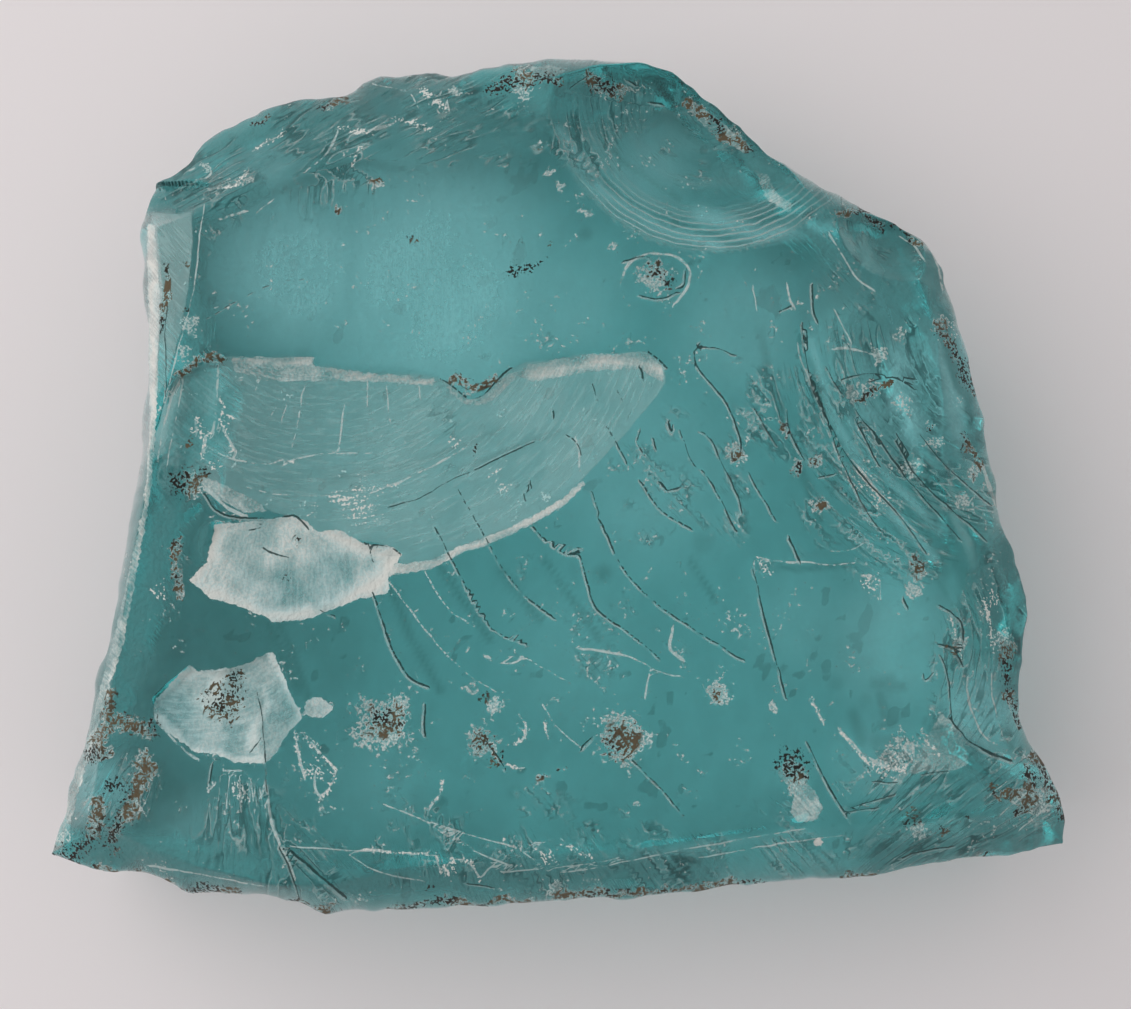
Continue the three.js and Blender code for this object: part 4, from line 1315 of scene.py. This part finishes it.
    def dark_values(self, ground: Ground) -> dict[str, Array]:
        """Work out the dark marks, and how far painted light clears the glass's tint and painted shade
        and random blotches darken it, mostly as shares from 0 to 1.

        Args:
            ground: the places.

        Returns:
            The values by name.
        """
        marks, by, mottle = self.marks, self.strengths, ground.mottle
        u, v = ground.seen
        haze = smooth(blotches(1.3 * u + 0.3 * v, 0.7 * v - 0.3 * u, 25.0, 8.0), 0.42, 0.64)
        shade = self.soft_field(marks.shade, marks.shadows, u, v) * (0.55 + 0.8 * mottle)
        shade = np.maximum(shade, self.edge_shade(ground.points) * (0.6 + 0.8 * mottle))
        clear = 1 - by.cloud_shade * smooth(ground.cloud, 0.35, 0.7) - by.haze_shade * haze
        # Painted shade: the opaque dark teal sheet along its lines, blotched.
        painted_shade = by.painted_shade * self.soft_field((), marks.painted_shade_lines, *ground.torn)
        return {
            "dirt": self.soft_field(marks.dirt, marks.soils, *ground.torn),
            "worm": rough(u, v, 8.0, 37.0, 2),
            "painted_shade": painted_shade * (0.75 + 0.5 * mottle),
            "fleck": blotches(u + 0.2 * v, 0.8 * v, 15.0, 12.0) + 0.3 * ground.cloud,
            # Painted light: the glow spots clear the glass's tint.
            "clear": self.soft_field(marks.glow, (), u, v) * (0.7 + 0.6 * ground.cloud),
            "shade": 1 - (1 - np.clip(shade, 0, 1)) * clear,
        }

    def mark_values(self, ground: Ground) -> dict[str, Array]:
        """Work out every value of STORED at each place of the upper face.

        Args:
            ground: the places.

        Returns:
            The values by name.
        """
        values = {"mottle": ground.mottle, "upper": np.ones(ground.mottle.shape),
                  "fan": self.fan(ground.points),
                  "hackle": self.soft_field(self.marks.hackles, (), *ground.seen)}
        values |= self.line_values(self.marks.cracks, "crack", ground)
        values |= self.line_values(self.marks.ridges, "ridge", ground)
        values |= self.white_values(ground) | self.dark_values(ground) | self.streak_places(ground)
        across, along = values["across"] / self.stroke_across, values["along"] / self.stroke_along
        values["stroke"] = rough(across, along, 1.0, 27.0)
        return values

    def relief(self, ground: Ground, values: dict[str, Array]) -> Array:
        """Give how far lines, streaks and strokes raise each place of the upper face.

        Args:
            ground: the places.
            values: the values there, by name.

        Returns:
            A height in mm for each place, negative where it is lowered.
        """
        across, along = values["across"] / self.streak_across, values["along"] / self.streak_along
        streak = rough(across, along, 1.0, 17.0, 2)
        struck = self.stroke_relief * values["stroke"] * np.clip(values["hackle"], 0, 1)
        return self.lift(*ground.seen) + values["strong"] * (self.streak_relief * streak + struck)

    def build(self) -> bpy.types.Object:
        """Make the mesh object, with its marks stored as values of its points.

        The sides and the underside carry the values of the edge above them, and upper fades there.

        Returns:
            The object, at the origin, in metres.
        """
        points, quads, ring = self.surface()
        top_count = (self.cells_across + 1) * (self.cells_deep + 1)
        ground = self.ground(points[:top_count])
        values = self.mark_values(ground)
        above = np.resize(ring, len(points) - top_count)
        x, y, height = points[top_count:].T
        down = 1 - height / points[above, 2] + self.side_fray * rough(x + y, height, 12.0, 57.0)
        thick = smooth(points[:top_count, 2], self.relief_start, self.relief_full)
        points[:top_count, 2] += self.relief(ground, values) * thick
        points = points - self.centre(points)
        mesh = bpy.data.meshes.new("glass_lump")
        faces = [quad[:3] if quad[2] == quad[3] else quad for quad in quads.tolist()]
        mesh.from_pydata((points * MM).tolist(), [], faces)
        carried = {name: np.concatenate([value, value[above]]) for name, value in values.items()}
        carried["upper"][top_count:] = 1 - smooth(down, 0.0, self.side_marks)
        store(mesh, carried)
        mesh.polygons.foreach_set("use_smooth", np.ones(len(mesh.polygons), dtype=bool))
        mesh.update()
        lump = bpy.data.objects.new("glass_lump", mesh)
        bpy.context.collection.objects.link(lump)
        return lump


def store(mesh: bpy.types.Mesh, values: dict[str, Array]) -> None:
    """Store values of the points on a mesh, three to an attribute, in the order of STORED.

    Args:
        mesh: the mesh.
        values: one value for each point, by name.
    """
    columns = [values[name] for name in STORED]
    columns += [np.zeros(len(mesh.vertices))] * (-len(STORED) % 3)
    for group in range(len(columns) // 3):
        three = np.stack(columns[3 * group:3 * group + 3], axis=1)
        made = mesh.attributes.new(f"marks_{group}", "FLOAT_VECTOR", "POINT")
        made.data.foreach_set("vector", three.ravel())


@dataclass
class Tone:
    """A socket of a shader, with Python's operators for the Math nodes."""

    bench: "Bench"
    socket: Any

    def math(self, operation: str, *others: Any) -> "Tone":
        """Add one Math node on this value and the others."""
        return self.bench.math(operation, self, *others)

    def __add__(self, other: Any) -> "Tone":
        """Add."""
        return self.math("ADD", other)

    def __radd__(self, other: Any) -> "Tone":
        """Add, with the number first."""
        return self.bench.math("ADD", other, self)

    def __sub__(self, other: Any) -> "Tone":
        """Subtract."""
        return self.math("SUBTRACT", other)

    def __rsub__(self, other: Any) -> "Tone":
        """Subtract from a number."""
        return self.bench.math("SUBTRACT", other, self)

    def __mul__(self, other: Any) -> "Tone":
        """Multiply."""
        return self.math("MULTIPLY", other)

    def __rmul__(self, other: Any) -> "Tone":
        """Multiply, with the number first."""
        return self.bench.math("MULTIPLY", other, self)

    def __truediv__(self, other: Any) -> "Tone":
        """Divide."""
        return self.math("DIVIDE", other)

    def __rtruediv__(self, other: Any) -> "Tone":
        """Divide a number."""
        return self.bench.math("DIVIDE", other, self)

    def __abs__(self) -> "Tone":
        """Drop the sign."""
        return self.math("ABSOLUTE")

    def most(self, other: Any) -> "Tone":
        """Take the larger."""
        return self.math("MAXIMUM", other)

    def rise(self, low: float, high: float) -> "Tone":
        """Rise smoothly from 0 to 1 between low and high, or fall where low is the larger."""
        node = self.bench.node("ShaderNodeMapRange", {"interpolation_type": "SMOOTHSTEP"}, {
            "Value": self, "From Min": min(low, high), "From Max": max(low, high),
            "To Min": 0.0 if low < high else 1.0, "To Max": 1.0 if low < high else 0.0})
        return Tone(self.bench, node.outputs["Result"])


@dataclass
class Bench:
    """The node tree of one material, and the few ways in which nodes are added to it."""

    tree: bpy.types.NodeTree

    def node(self, kind: str, settings: dict[str, Any] | None = None,
             values: dict[Any, Any] | None = None) -> bpy.types.Node:
        """Add a node.

        Args:
            kind: the node's type.
            settings: its properties, which are set first.
            values: a number, vector, Tone or socket for each input, by its name or place.

        Returns:
            The node.
        """
        made = self.tree.nodes.new(kind)
        for name, setting in (settings or {}).items():
            setattr(made, name, setting)
        for name, value in (values or {}).items():
            target = made.inputs[name]
            source = value.socket if isinstance(value, Tone) else value
            if isinstance(source, bpy.types.NodeSocket):
                self.tree.links.new(source, target)
            else:
                target.default_value = source
        return made

    def math(self, operation: str, *values: Any) -> Tone:
        """Add a Math node on the values."""
        node = self.node("ShaderNodeMath", {"operation": operation}, dict(enumerate(values)))
        return Tone(self, node.outputs[0])

    def stored(self, name: str) -> Tone:
        """Read a value that is stored on the mesh's points, three to an attribute.

        Args:
            name: its name in STORED.

        Returns:
            The value.
        """
        group, part = divmod(STORED.index(name), 3)
        read = self.node("ShaderNodeAttribute", {"attribute_name": f"marks_{group}"})
        return Tone(self, self.node("ShaderNodeSeparateXYZ", {}, {0: read.outputs["Vector"]}).outputs[part])

    def noise(self, place: Any, scale: float, detail: float, roughness: float) -> Tone:
        """Give flat noise from 0 to 1 over the first two coordinates of a place, scale blotches to a unit."""
        node = self.node("ShaderNodeTexNoise", {"noise_dimensions": "2D"}, {
            "Vector": place, "Scale": scale, "Detail": detail, "Roughness": roughness})
        return Tone(self, node.outputs[0])

    def blend(self, share: Any, first: Any, second: Any) -> Any:
        """Blend two colours by a share, and give the colour socket."""
        return self.node("ShaderNodeMix", {"data_type": "RGBA"}, {0: share, 6: first, 7: second}).outputs[2]

    def bump(self, height: Tone, distance: float, strength: float = 1.0) -> Any:
        """Turn a height into a normal."""
        values = {"Height": height, "Distance": distance, "Strength": strength}
        return self.node("ShaderNodeBump", {}, values).outputs["Normal"]

    def surface(self, values: dict[str, Any]) -> Any:
        """Add a plain surface shader with the values, and give its socket."""
        return self.node("ShaderNodeBsdfPrincipled", {}, values).outputs[0]

    def layer(self, share: Any, under: Any, over: Any) -> Any:
        """Lay one shader over another by a share, and give the socket of both."""
        return self.node("ShaderNodeMixShader", {}, {0: share, 1: under, 2: over}).outputs[0]


def new_material(name: str) -> tuple[bpy.types.Material, Bench]:
    """Make a material without nodes.

    Args:
        name: the material's name.

    Returns:
        The material, and the bench for its nodes.
    """
    made = bpy.data.materials.new(name)
    made.use_nodes = True
    made.node_tree.nodes.clear()
    return made, Bench(made.node_tree)


Ramp = tuple[float, float]


@dataclass(frozen=True)
class Textures:
    """The textures that the marks share, each from 0 to 1 but ring, which goes from -1 to 1.

    speck and grit are specks of about 1 and 0.5 mm, streak runs the way the glass was struck, mottle
    has blotches of a few millimetres, lively tells how far the face is broken into small strokes, and
    ring ripples about a strike point.
    """

    speck: Tone
    grit: Tone
    streak: Tone
    mottle: Tone
    lively: Tone
    ring: Tone


@dataclass(frozen=True)
class Whites:
    """The pale marks: how much of the glass each covers, from 0 to 1.

    rubbed tells how whitely the chalk is rubbed, ridge is partly painted highlight, glint is painted
    highlight, dust is a thin veil over the glass, partly dust and partly painted sheen, and marks is
    all the others together, with the painted highlights on the crests of strokes and ripples.
    """

    flake: Tone
    film: Tone
    milk: Tone
    crust: Tone
    ridge: Tone
    glint: Tone
    rubbed: Tone
    dust_and_sheen: Tone
    marks: Tone


@dataclass(frozen=True)
class Darks:
    """The dark marks: how much of the glass each covers, from 0 to 1.

    streak is painted shade on the dark side of small strokes, and tint is what only darkens the
    glass's own colour: the flecks, and the painted shade on strokes and in ripple troughs.
    """

    crack: Tone
    dirt: Tone
    streak: Tone
    tint: Tone


@dataclass(frozen=True)
class GlassFinish:
    """The look of the glass: clear blue-green through its depth, with milky, white and brown places,
    and with painted shade, painted light and painted highlights.

    A ramp is a pair of values: a mark rises from nothing to full from the first to the second. A share
    is how far a full mark covers the glass.
    """

    body: Colour = (0.77, 0.99, 1.0, 1.0)
    # Painted light: the clearer tint where the glow spots are.
    clear: Colour = (0.95, 1.0, 1.0, 1.0)
    shaded: Colour = (0.31, 0.52, 0.51, 1.0)
    # fleck: the dark flecks in the glass, and the tint of the painted shade on strokes and in ripple troughs.
    fleck: Colour = (0.15, 0.32, 0.31, 1.0)
    milk: Colour = (0.52, 0.73, 0.71, 1.0)
    # white: crushed glass, and also the painted glints and highlights.
    white: Colour = (0.70, 0.70, 0.65, 1.0)
    # Dust and painted sheen: the colour of the pale veil.
    dust_and_sheen: Colour = (0.36, 0.80, 0.82, 1.0)
    white_thin: Colour = (0.38, 0.60, 0.61, 1.0)
    brown: Colour = (0.11, 0.083, 0.048, 1.0)
    soot: Colour = (0.016, 0.013, 0.010, 1.0)
    crack: Colour = (0.015, 0.045, 0.043, 1.0)
    # deep: the painted shade on the dark side of small strokes.
    deep: Colour = (0.025, 0.10, 0.10, 1.0)
    # Painted shade: the colour of the opaque dark teal sheet.
    painted_shade: Colour = (0.07, 0.23, 0.23, 1.0)
    depth_colour: Colour = (0.43, 0.915, 0.915, 1.0)
    depth_density: float = 20.0
    ior: float = 1.5
    side_roughness: float = 0.0
    milk_roughness: float = 0.15
    crust_roughness: float = 0.3
    chalk_roughness: float = 0.6
    soil_roughness: float = 0.85
    speck_size: float = 0.0009
    grit_size: float = 0.00045
    streak_across: float = 0.55
    streak_along: float = 5.0
    streak_relief: float = 0.00013
    crushed_relief: float = 0.0004
    crushed_strength: float = 0.8
    ring_turns: float = 5.2
    line_core: Ramp = (0.63, 0.36)
    line_reach: Ramp = (1.0, 0.75)
    lip_start: Ramp = (0.30, 0.58)
    lip_end: Ramp = (1.9, 1.0)
    lip_reach: Ramp = (2.3, 1.9)
    flake_edge: Ramp = (0.08, -0.08)
    film_edge: Ramp = (0.12, -0.12)
    milk_edge: Ramp = (0.2, -0.2)
    crust_edge: Ramp = (0.42, 0.80)
    glint_edge: Ramp = (0.74, 0.77)
    rubbed_grain: Ramp = (0.40, 0.62)
    crest_side: Ramp = (0.0, 0.03)
    crest_foot: Ramp = (0.13, 0.06)
    stroke_side: Ramp = (0.0, -0.04)
    stroke_foot: Ramp = (-0.26, -0.12)
    ripple_crest: Ramp = (0.35, 0.8)
    ripple_trough: Ramp = (-0.2, -0.9)
    dirt_edge: Ramp = (0.82, 1.02)
    dirt_border: Ramp = (0.02, 0.2)
    worm_edge: Ramp = (0.16, 0.08)
    fleck_edge: Ramp = (0.86, 0.92)
    ridge_share: float = 0.72
    lip_share: float = 0.42
    ripple_share: float = 0.40
    crack_share: float = 0.92
    streak_share: float = 0.5

    def drawn_line(self, bench: Bench, name: str, vary: Tone) -> Tone:
        """Draw a family of fine lines: full on the zero of its side, within its own varied width of it."""
        core = (abs(bench.stored(name + "_side")) / vary).rise(*self.line_core)
        return core * (bench.stored(name + "_near") / (vary + 0.9)).rise(*self.line_reach)

    def pale_lip(self, bench: Bench) -> Tone:
        """Draw a pale band beside the cracks, on one side of each."""
        beside, near = bench.stored("crack_side"), bench.stored("crack_near")
        return beside.rise(*self.lip_start) * beside.rise(*self.lip_end) * near.rise(*self.lip_reach)

    def streaks(self, bench: Bench) -> Tone:
        """Give noise drawn out along the streaks of the glass, even where two zones meet."""
        place = bench.node("ShaderNodeCombineXYZ", {}, {
            "X": bench.stored("across") / self.streak_across, "Y": bench.stored("along") / self.streak_along})
        return (bench.noise(place.outputs[0], 1.0, 2.0, 0.6) - 0.5) * bench.stored("strong") + 0.5

    def textures(self, bench: Bench) -> Textures:
        """Make the textures that the marks share.

        Args:
            bench: the material's nodes.

        Returns:
            The textures.
        """
        seen = bench.node("ShaderNodeTexCoord").outputs["Object"]
        mottle = bench.stored("mottle")
        return Textures(
            speck=bench.noise(seen, 1 / self.speck_size, 2.0, 0.55),
            grit=bench.noise(seen, 1 / self.grit_size, 1.0, 0.55),
            streak=self.streaks(bench), mottle=mottle,
            lively=(bench.stored("hackle") + mottle * 1.6).rise(1.15, 1.75),
            ring=(bench.stored("across") * self.ring_turns + mottle * 5.0).math("SINE"))

    def whites(self, bench: Bench, textures: Textures) -> Whites:
        """Make the pale marks, each ragged by the specks.

        Args:
            bench: the material's nodes.
            textures: the shared textures.

        Returns:
            The pale marks.
        """
        speck, grit, streak, mottle = textures.speck, textures.grit, textures.streak, textures.mottle
        rubbed = (speck * 0.5 + grit * 0.5).rise(*self.rubbed_grain)
        flake = (bench.stored("flake") + (speck - 0.5) * 0.7).rise(*self.flake_edge)
        flake_white = flake * (bench.stored("flake_white") + rubbed * 0.07
                               + streak.rise(0.45, 0.65) * (0.05 + bench.stored("thin") * 0.12))
        film = (bench.stored("film") + (speck - 0.5) * 0.9).rise(*self.film_edge)
        film_white = film * (bench.stored("film_white") + streak.rise(0.45, 0.6) * 0.22
                             + grit.rise(0.48, 0.6) * 0.12)
        milk = bench.stored("milk").rise(*self.milk_edge)
        milk_white = milk * (bench.stored("milk_white") + streak.rise(0.45, 0.7) * 0.12)
        crust = (bench.stored("crust") + (speck - 0.5) * 1.8).rise(*self.crust_edge)
        crust_white = crust * (0.36 + grit.rise(0.40, 0.62) * 0.42)
        # Painted highlights: small white glints, cut from the noise.
        glint = bench.stored("glint") * 0.26 + grit * 0.35 + streak * 0.45 + speck * 0.2
        glint = glint.rise(*self.glint_edge)
        # Pale ridge lines: partly white edges, partly painted highlights.
        ridge = self.drawn_line(bench, "ridge", (mottle * 1.8).most(0.7))
        ridge = ridge * (speck * 0.5 + mottle * 0.5).rise(0.32, 0.52)
        lip = self.pale_lip(bench) * (mottle + speck * 0.4).rise(0.40, 0.75)
        stroke = bench.stored("stroke")
        # Painted highlights: the pale crest side of small strokes where the face is broken.
        crest_highlight = textures.lively * stroke.rise(*self.crest_side) * stroke.rise(*self.crest_foot)
        crest_highlight = (crest_highlight * (0.1 + speck * 0.5)).most(textures.lively * streak.rise(0.57, 0.68) * 0.22)
        # Painted highlights: pale bands on the crests of the fan's ripples.
        ripple = bench.stored("fan") * textures.ring.rise(*self.ripple_crest)
        marks = flake_white.most(film_white).most(milk_white).most(crust_white)
        marks = marks.most(ridge * self.ridge_share).most(lip * self.lip_share).most(crest_highlight).most(glint)
        marks = marks.most(ripple * self.ripple_share)
        # Dust and painted sheen: the pale veil, specked.
        dust_and_sheen = bench.stored("dust_and_sheen") * (0.75 + speck * 0.5)
        return Whites(flake, film, milk, crust_white, ridge, glint, rubbed, dust_and_sheen, marks)

    def darks(self, bench: Bench, textures: Textures) -> Darks:
        """Make the dark marks.

        Args:
            bench: the material's nodes.
            textures: the shared textures.

        Returns:
            The dark marks.
        """
        speck, mottle, stroke = textures.speck, textures.mottle, bench.stored("stroke")
        crack = self.drawn_line(bench, "crack", (speck * 1.2 + mottle * 1.6 - 0.65).most(0.42))
        soiled = bench.stored("dirt")
        worm = abs(bench.stored("worm")).rise(*self.worm_edge) * soiled.rise(0.15, 0.45)
        dirt = (soiled + (speck * 0.6 + textures.grit * 0.4 - 0.5) * 4.4).rise(*self.dirt_edge)
        dirt = dirt.most(worm * (speck + mottle).rise(0.9, 1.05)) * soiled.rise(*self.dirt_border)
        # Painted shade: the dark side of small strokes where the face is broken.
        streak = textures.lively * stroke.rise(*self.stroke_side) * stroke.rise(*self.stroke_foot)
        streak = streak.most(textures.lively * textures.streak.rise(0.44, 0.34) * 0.6)
        # Painted shade: dark bands in the troughs of the fan's ripples.
        trough_shade = bench.stored("fan") * textures.ring.rise(*self.ripple_trough)
        fleck = bench.stored("fleck").rise(*self.fleck_edge)
        return Darks(crack, dirt, streak, (fleck * 0.62).most(streak * 0.62).most(trough_shade * 0.5))

    def glass(self, bench: Bench, textures: Textures, whites: Whites, darks: Darks) -> Any:
        """Make the clear glass of the upper face.

        Args:
            bench: the material's nodes.
            textures: the shared textures.
            whites: the pale marks, which roughen the glass.
            darks: the dark marks, which tint it.

        Returns:
            The shader's socket.
        """
        # Painted light clears the tint where the glow spots are, and painted shade darkens it.
        colour = bench.blend(bench.stored("clear"), self.body, self.clear)
        colour = bench.blend(bench.stored("shade"), colour, self.shaded)
        # Flecks darken the tint, and so does the painted shade on strokes and in ripple troughs.
        colour = bench.blend(darks.tint, colour, self.fleck)
        return bench.surface({
            "Base Color": colour, "IOR": self.ior, "Transmission Weight": 1.0,
            "Roughness": whites.milk * self.milk_roughness + whites.crust * self.crust_roughness,
            "Normal": bench.bump(textures.streak, self.streak_relief)})

    def chalk(self, bench: Bench, whites: Whites, crushed: Any) -> Any:
        """Make the white crushed glass, the painted glints and highlights, and the veil of dust and
        painted sheen.

        Args:
            bench: the material's nodes.
            whites: the pale marks.
            crushed: the normal of crushed glass.

        Returns:
            The shader's socket.
        """
        solid = (whites.rubbed * 0.35 + 0.5).most(whites.glint).most(bench.stored("rim"))
        colour = bench.blend(solid * (1 - bench.stored("thin") * 0.7), self.white_thin, self.white)
        milky = whites.milk * (1 - whites.flake) * (1 - whites.film) * (1 - whites.ridge) * (1 - whites.glint)
        colour = bench.blend(milky, colour, self.milk)
        # Where the veil of dust and painted sheen outweighs the white marks, the chalk takes its colour.
        dust_and_sheen_share = (whites.marks - whites.dust_and_sheen).rise(0.06, -0.04) * (1 - whites.milk * 0.8)
        return bench.surface({
            "Base Color": bench.blend(dust_and_sheen_share, colour, self.dust_and_sheen), "Roughness": self.chalk_roughness,
            "IOR": self.ior, "Normal": crushed})

    def soil(self, bench: Bench, textures: Textures, darks: Darks, crushed: Any) -> Any:
        """Make the opaque dark places: painted shade, as the dark teal sheet and on the dark sides of
        strokes, then cracks, and brown and black dirt.

        Args:
            bench: the material's nodes.
            textures: the shared textures.
            darks: the dark marks.
            crushed: the normal of crushed glass.

        Returns:
            The shader's socket.
        """
        colour = bench.blend(darks.streak, self.painted_shade, self.deep)
        colour = bench.blend(darks.crack, colour, self.crack)
        dirt_colour = bench.blend(textures.mottle.rise(0.40, 0.60), self.soot, self.brown)
        return bench.surface({
            "Base Color": bench.blend(darks.dirt, colour, dirt_colour), "Roughness": self.soil_roughness,
            "Normal": crushed})

    def material(self) -> bpy.types.Material:
        """Make the material of the lump.

        Glass, chalk and soil are laid over each other by the shares of the marks on the upper face.
        The sides and the underside are plain glass, and the whole depth absorbs light.

        Returns:
            A material that reads the marks stored on the mesh.
        """
        made, bench = new_material("blue_green_glass")
        textures = self.textures(bench)
        whites, darks = self.whites(bench, textures), self.darks(bench, textures)
        crushed = bench.bump(textures.speck, self.crushed_relief, self.crushed_strength)
        face = bench.layer(whites.marks.most(whites.dust_and_sheen), self.glass(bench, textures, whites, darks),
                           self.chalk(bench, whites, crushed))
        # Painted shade: the dark teal sheet lies over the glass, but not over the white marks.
        painted_shade = bench.stored("painted_shade") * (1 - whites.marks)
        dark = darks.dirt.most(darks.crack * self.crack_share).most(darks.streak * self.streak_share)
        face = bench.layer(dark.most(painted_shade), face, self.soil(bench, textures, darks, crushed))
        sides = bench.surface({"Base Color": self.body, "Roughness": self.side_roughness, "IOR": self.ior,
                               "Transmission Weight": 1.0})
        depth = bench.node("ShaderNodeVolumeAbsorption", {}, {
            "Color": self.depth_colour, "Density": self.depth_density})
        bench.node("ShaderNodeOutputMaterial", {}, {
            "Surface": bench.layer(bench.stored("upper"), sides, face), "Volume": depth.outputs[0]})
        return made


@dataclass(frozen=True)
class Studio:
    """The pale floor, the soft light and the camera over the lump."""

    view: PhotoView
    floor_colour: Colour = (0.90, 0.825, 0.82, 1.0)
    floor_roughness: float = 0.7
    floor_size: float = 3.0
    floor_gap: float = 0.0002
    sky_colour: Colour = (0.96, 0.98, 1.0, 1.0)
    sky_strength: float = 0.53
    window_power: float = 7.6
    window_size: float = 1.4
    window_place: tuple[float, float, float] = (-0.8, 0.3, 0.7)

    def camera(self, shift: Array) -> None:
        """Put the camera where the photograph was taken from.

        Args:
            shift: the frame's shift of the whole lump, in mm, which the camera follows.
        """
        data = bpy.data.cameras.new("camera")
        data.lens = self.view.lens
        data.sensor_width = self.view.sensor
        camera = bpy.data.objects.new("camera", data)
        camera.location = (self.view.place() - shift) * MM
        camera.rotation_euler = (self.view.lean, 0.0, 0.0)
        bpy.context.collection.objects.link(camera)
        bpy.context.scene.camera = camera

    def floor(self) -> None:
        """Lay the pale floor just under the lump."""
        half = self.floor_size / 2
        mesh = bpy.data.meshes.new("floor")
        plan = ((-half, -half), (half, -half), (half, half), (-half, half))
        corners = [(x, y, -self.floor_gap) for x, y in plan]
        mesh.from_pydata(corners, [], [(0, 1, 2, 3)])
        floor = bpy.data.objects.new("floor", mesh)
        bpy.context.collection.objects.link(floor)
        material, bench = new_material("pale_floor")
        paper = bench.surface({"Base Color": self.floor_colour, "Roughness": self.floor_roughness})
        bench.node("ShaderNodeOutputMaterial", {}, {"Surface": paper})
        mesh.materials.append(material)

    def light(self) -> None:
        """Light the scene with an even sky and one soft window from the rear left."""
        world = bpy.data.worlds.new("sky")
        world.use_nodes = True
        background = world.node_tree.nodes["Background"]
        background.inputs["Color"].default_value = self.sky_colour
        background.inputs["Strength"].default_value = self.sky_strength
        bpy.context.scene.world = world
        world.cycles.sampling_method = "NONE"
        data = bpy.data.lights.new("window", "AREA")
        data.size = self.window_size
        data.energy = self.window_power
        window = bpy.data.objects.new("window", data)
        window.visible_glossy = False
        window.location = self.window_place
        window.rotation_euler = (-Vector(self.window_place)).to_track_quat("-Z", "Y").to_euler()
        bpy.context.collection.objects.link(window)

    def develop(self) -> None:
        """Set plain colour handling and enough bounces for thick glass."""
        scene = bpy.context.scene
        scene.view_settings.view_transform = "Standard"
        scene.cycles.max_bounces = 9
        scene.cycles.transmission_bounces = 8
        scene.cycles.glossy_bounces = 4
        scene.cycles.diffuse_bounces = 3
        scene.cycles.sample_clamp_indirect = 4.0
        scene.cycles.use_denoising = True
        scene.cycles.use_light_tree = False


def main() -> None:
    """Build the studio and the lump, and fix the lump to the frame."""
    logging.basicConfig(level=logging.INFO, format="%(message)s")
    view = PhotoView()
    studio = Studio(view)
    studio.develop()
    studio.floor()
    studio.light()
    lump = Lump(view)
    points, _, _ = lump.surface()
    studio.camera(lump.centre(points))
    piece = lump.build()
    piece.data.materials.append(GlassFinish().material())
    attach(piece, "root")
    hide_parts(NODE)
    LOG.info("%s: %d points, %d faces", piece.name, len(piece.data.vertices), len(piece.data.polygons))


if __name__ == "__main__":
    main()
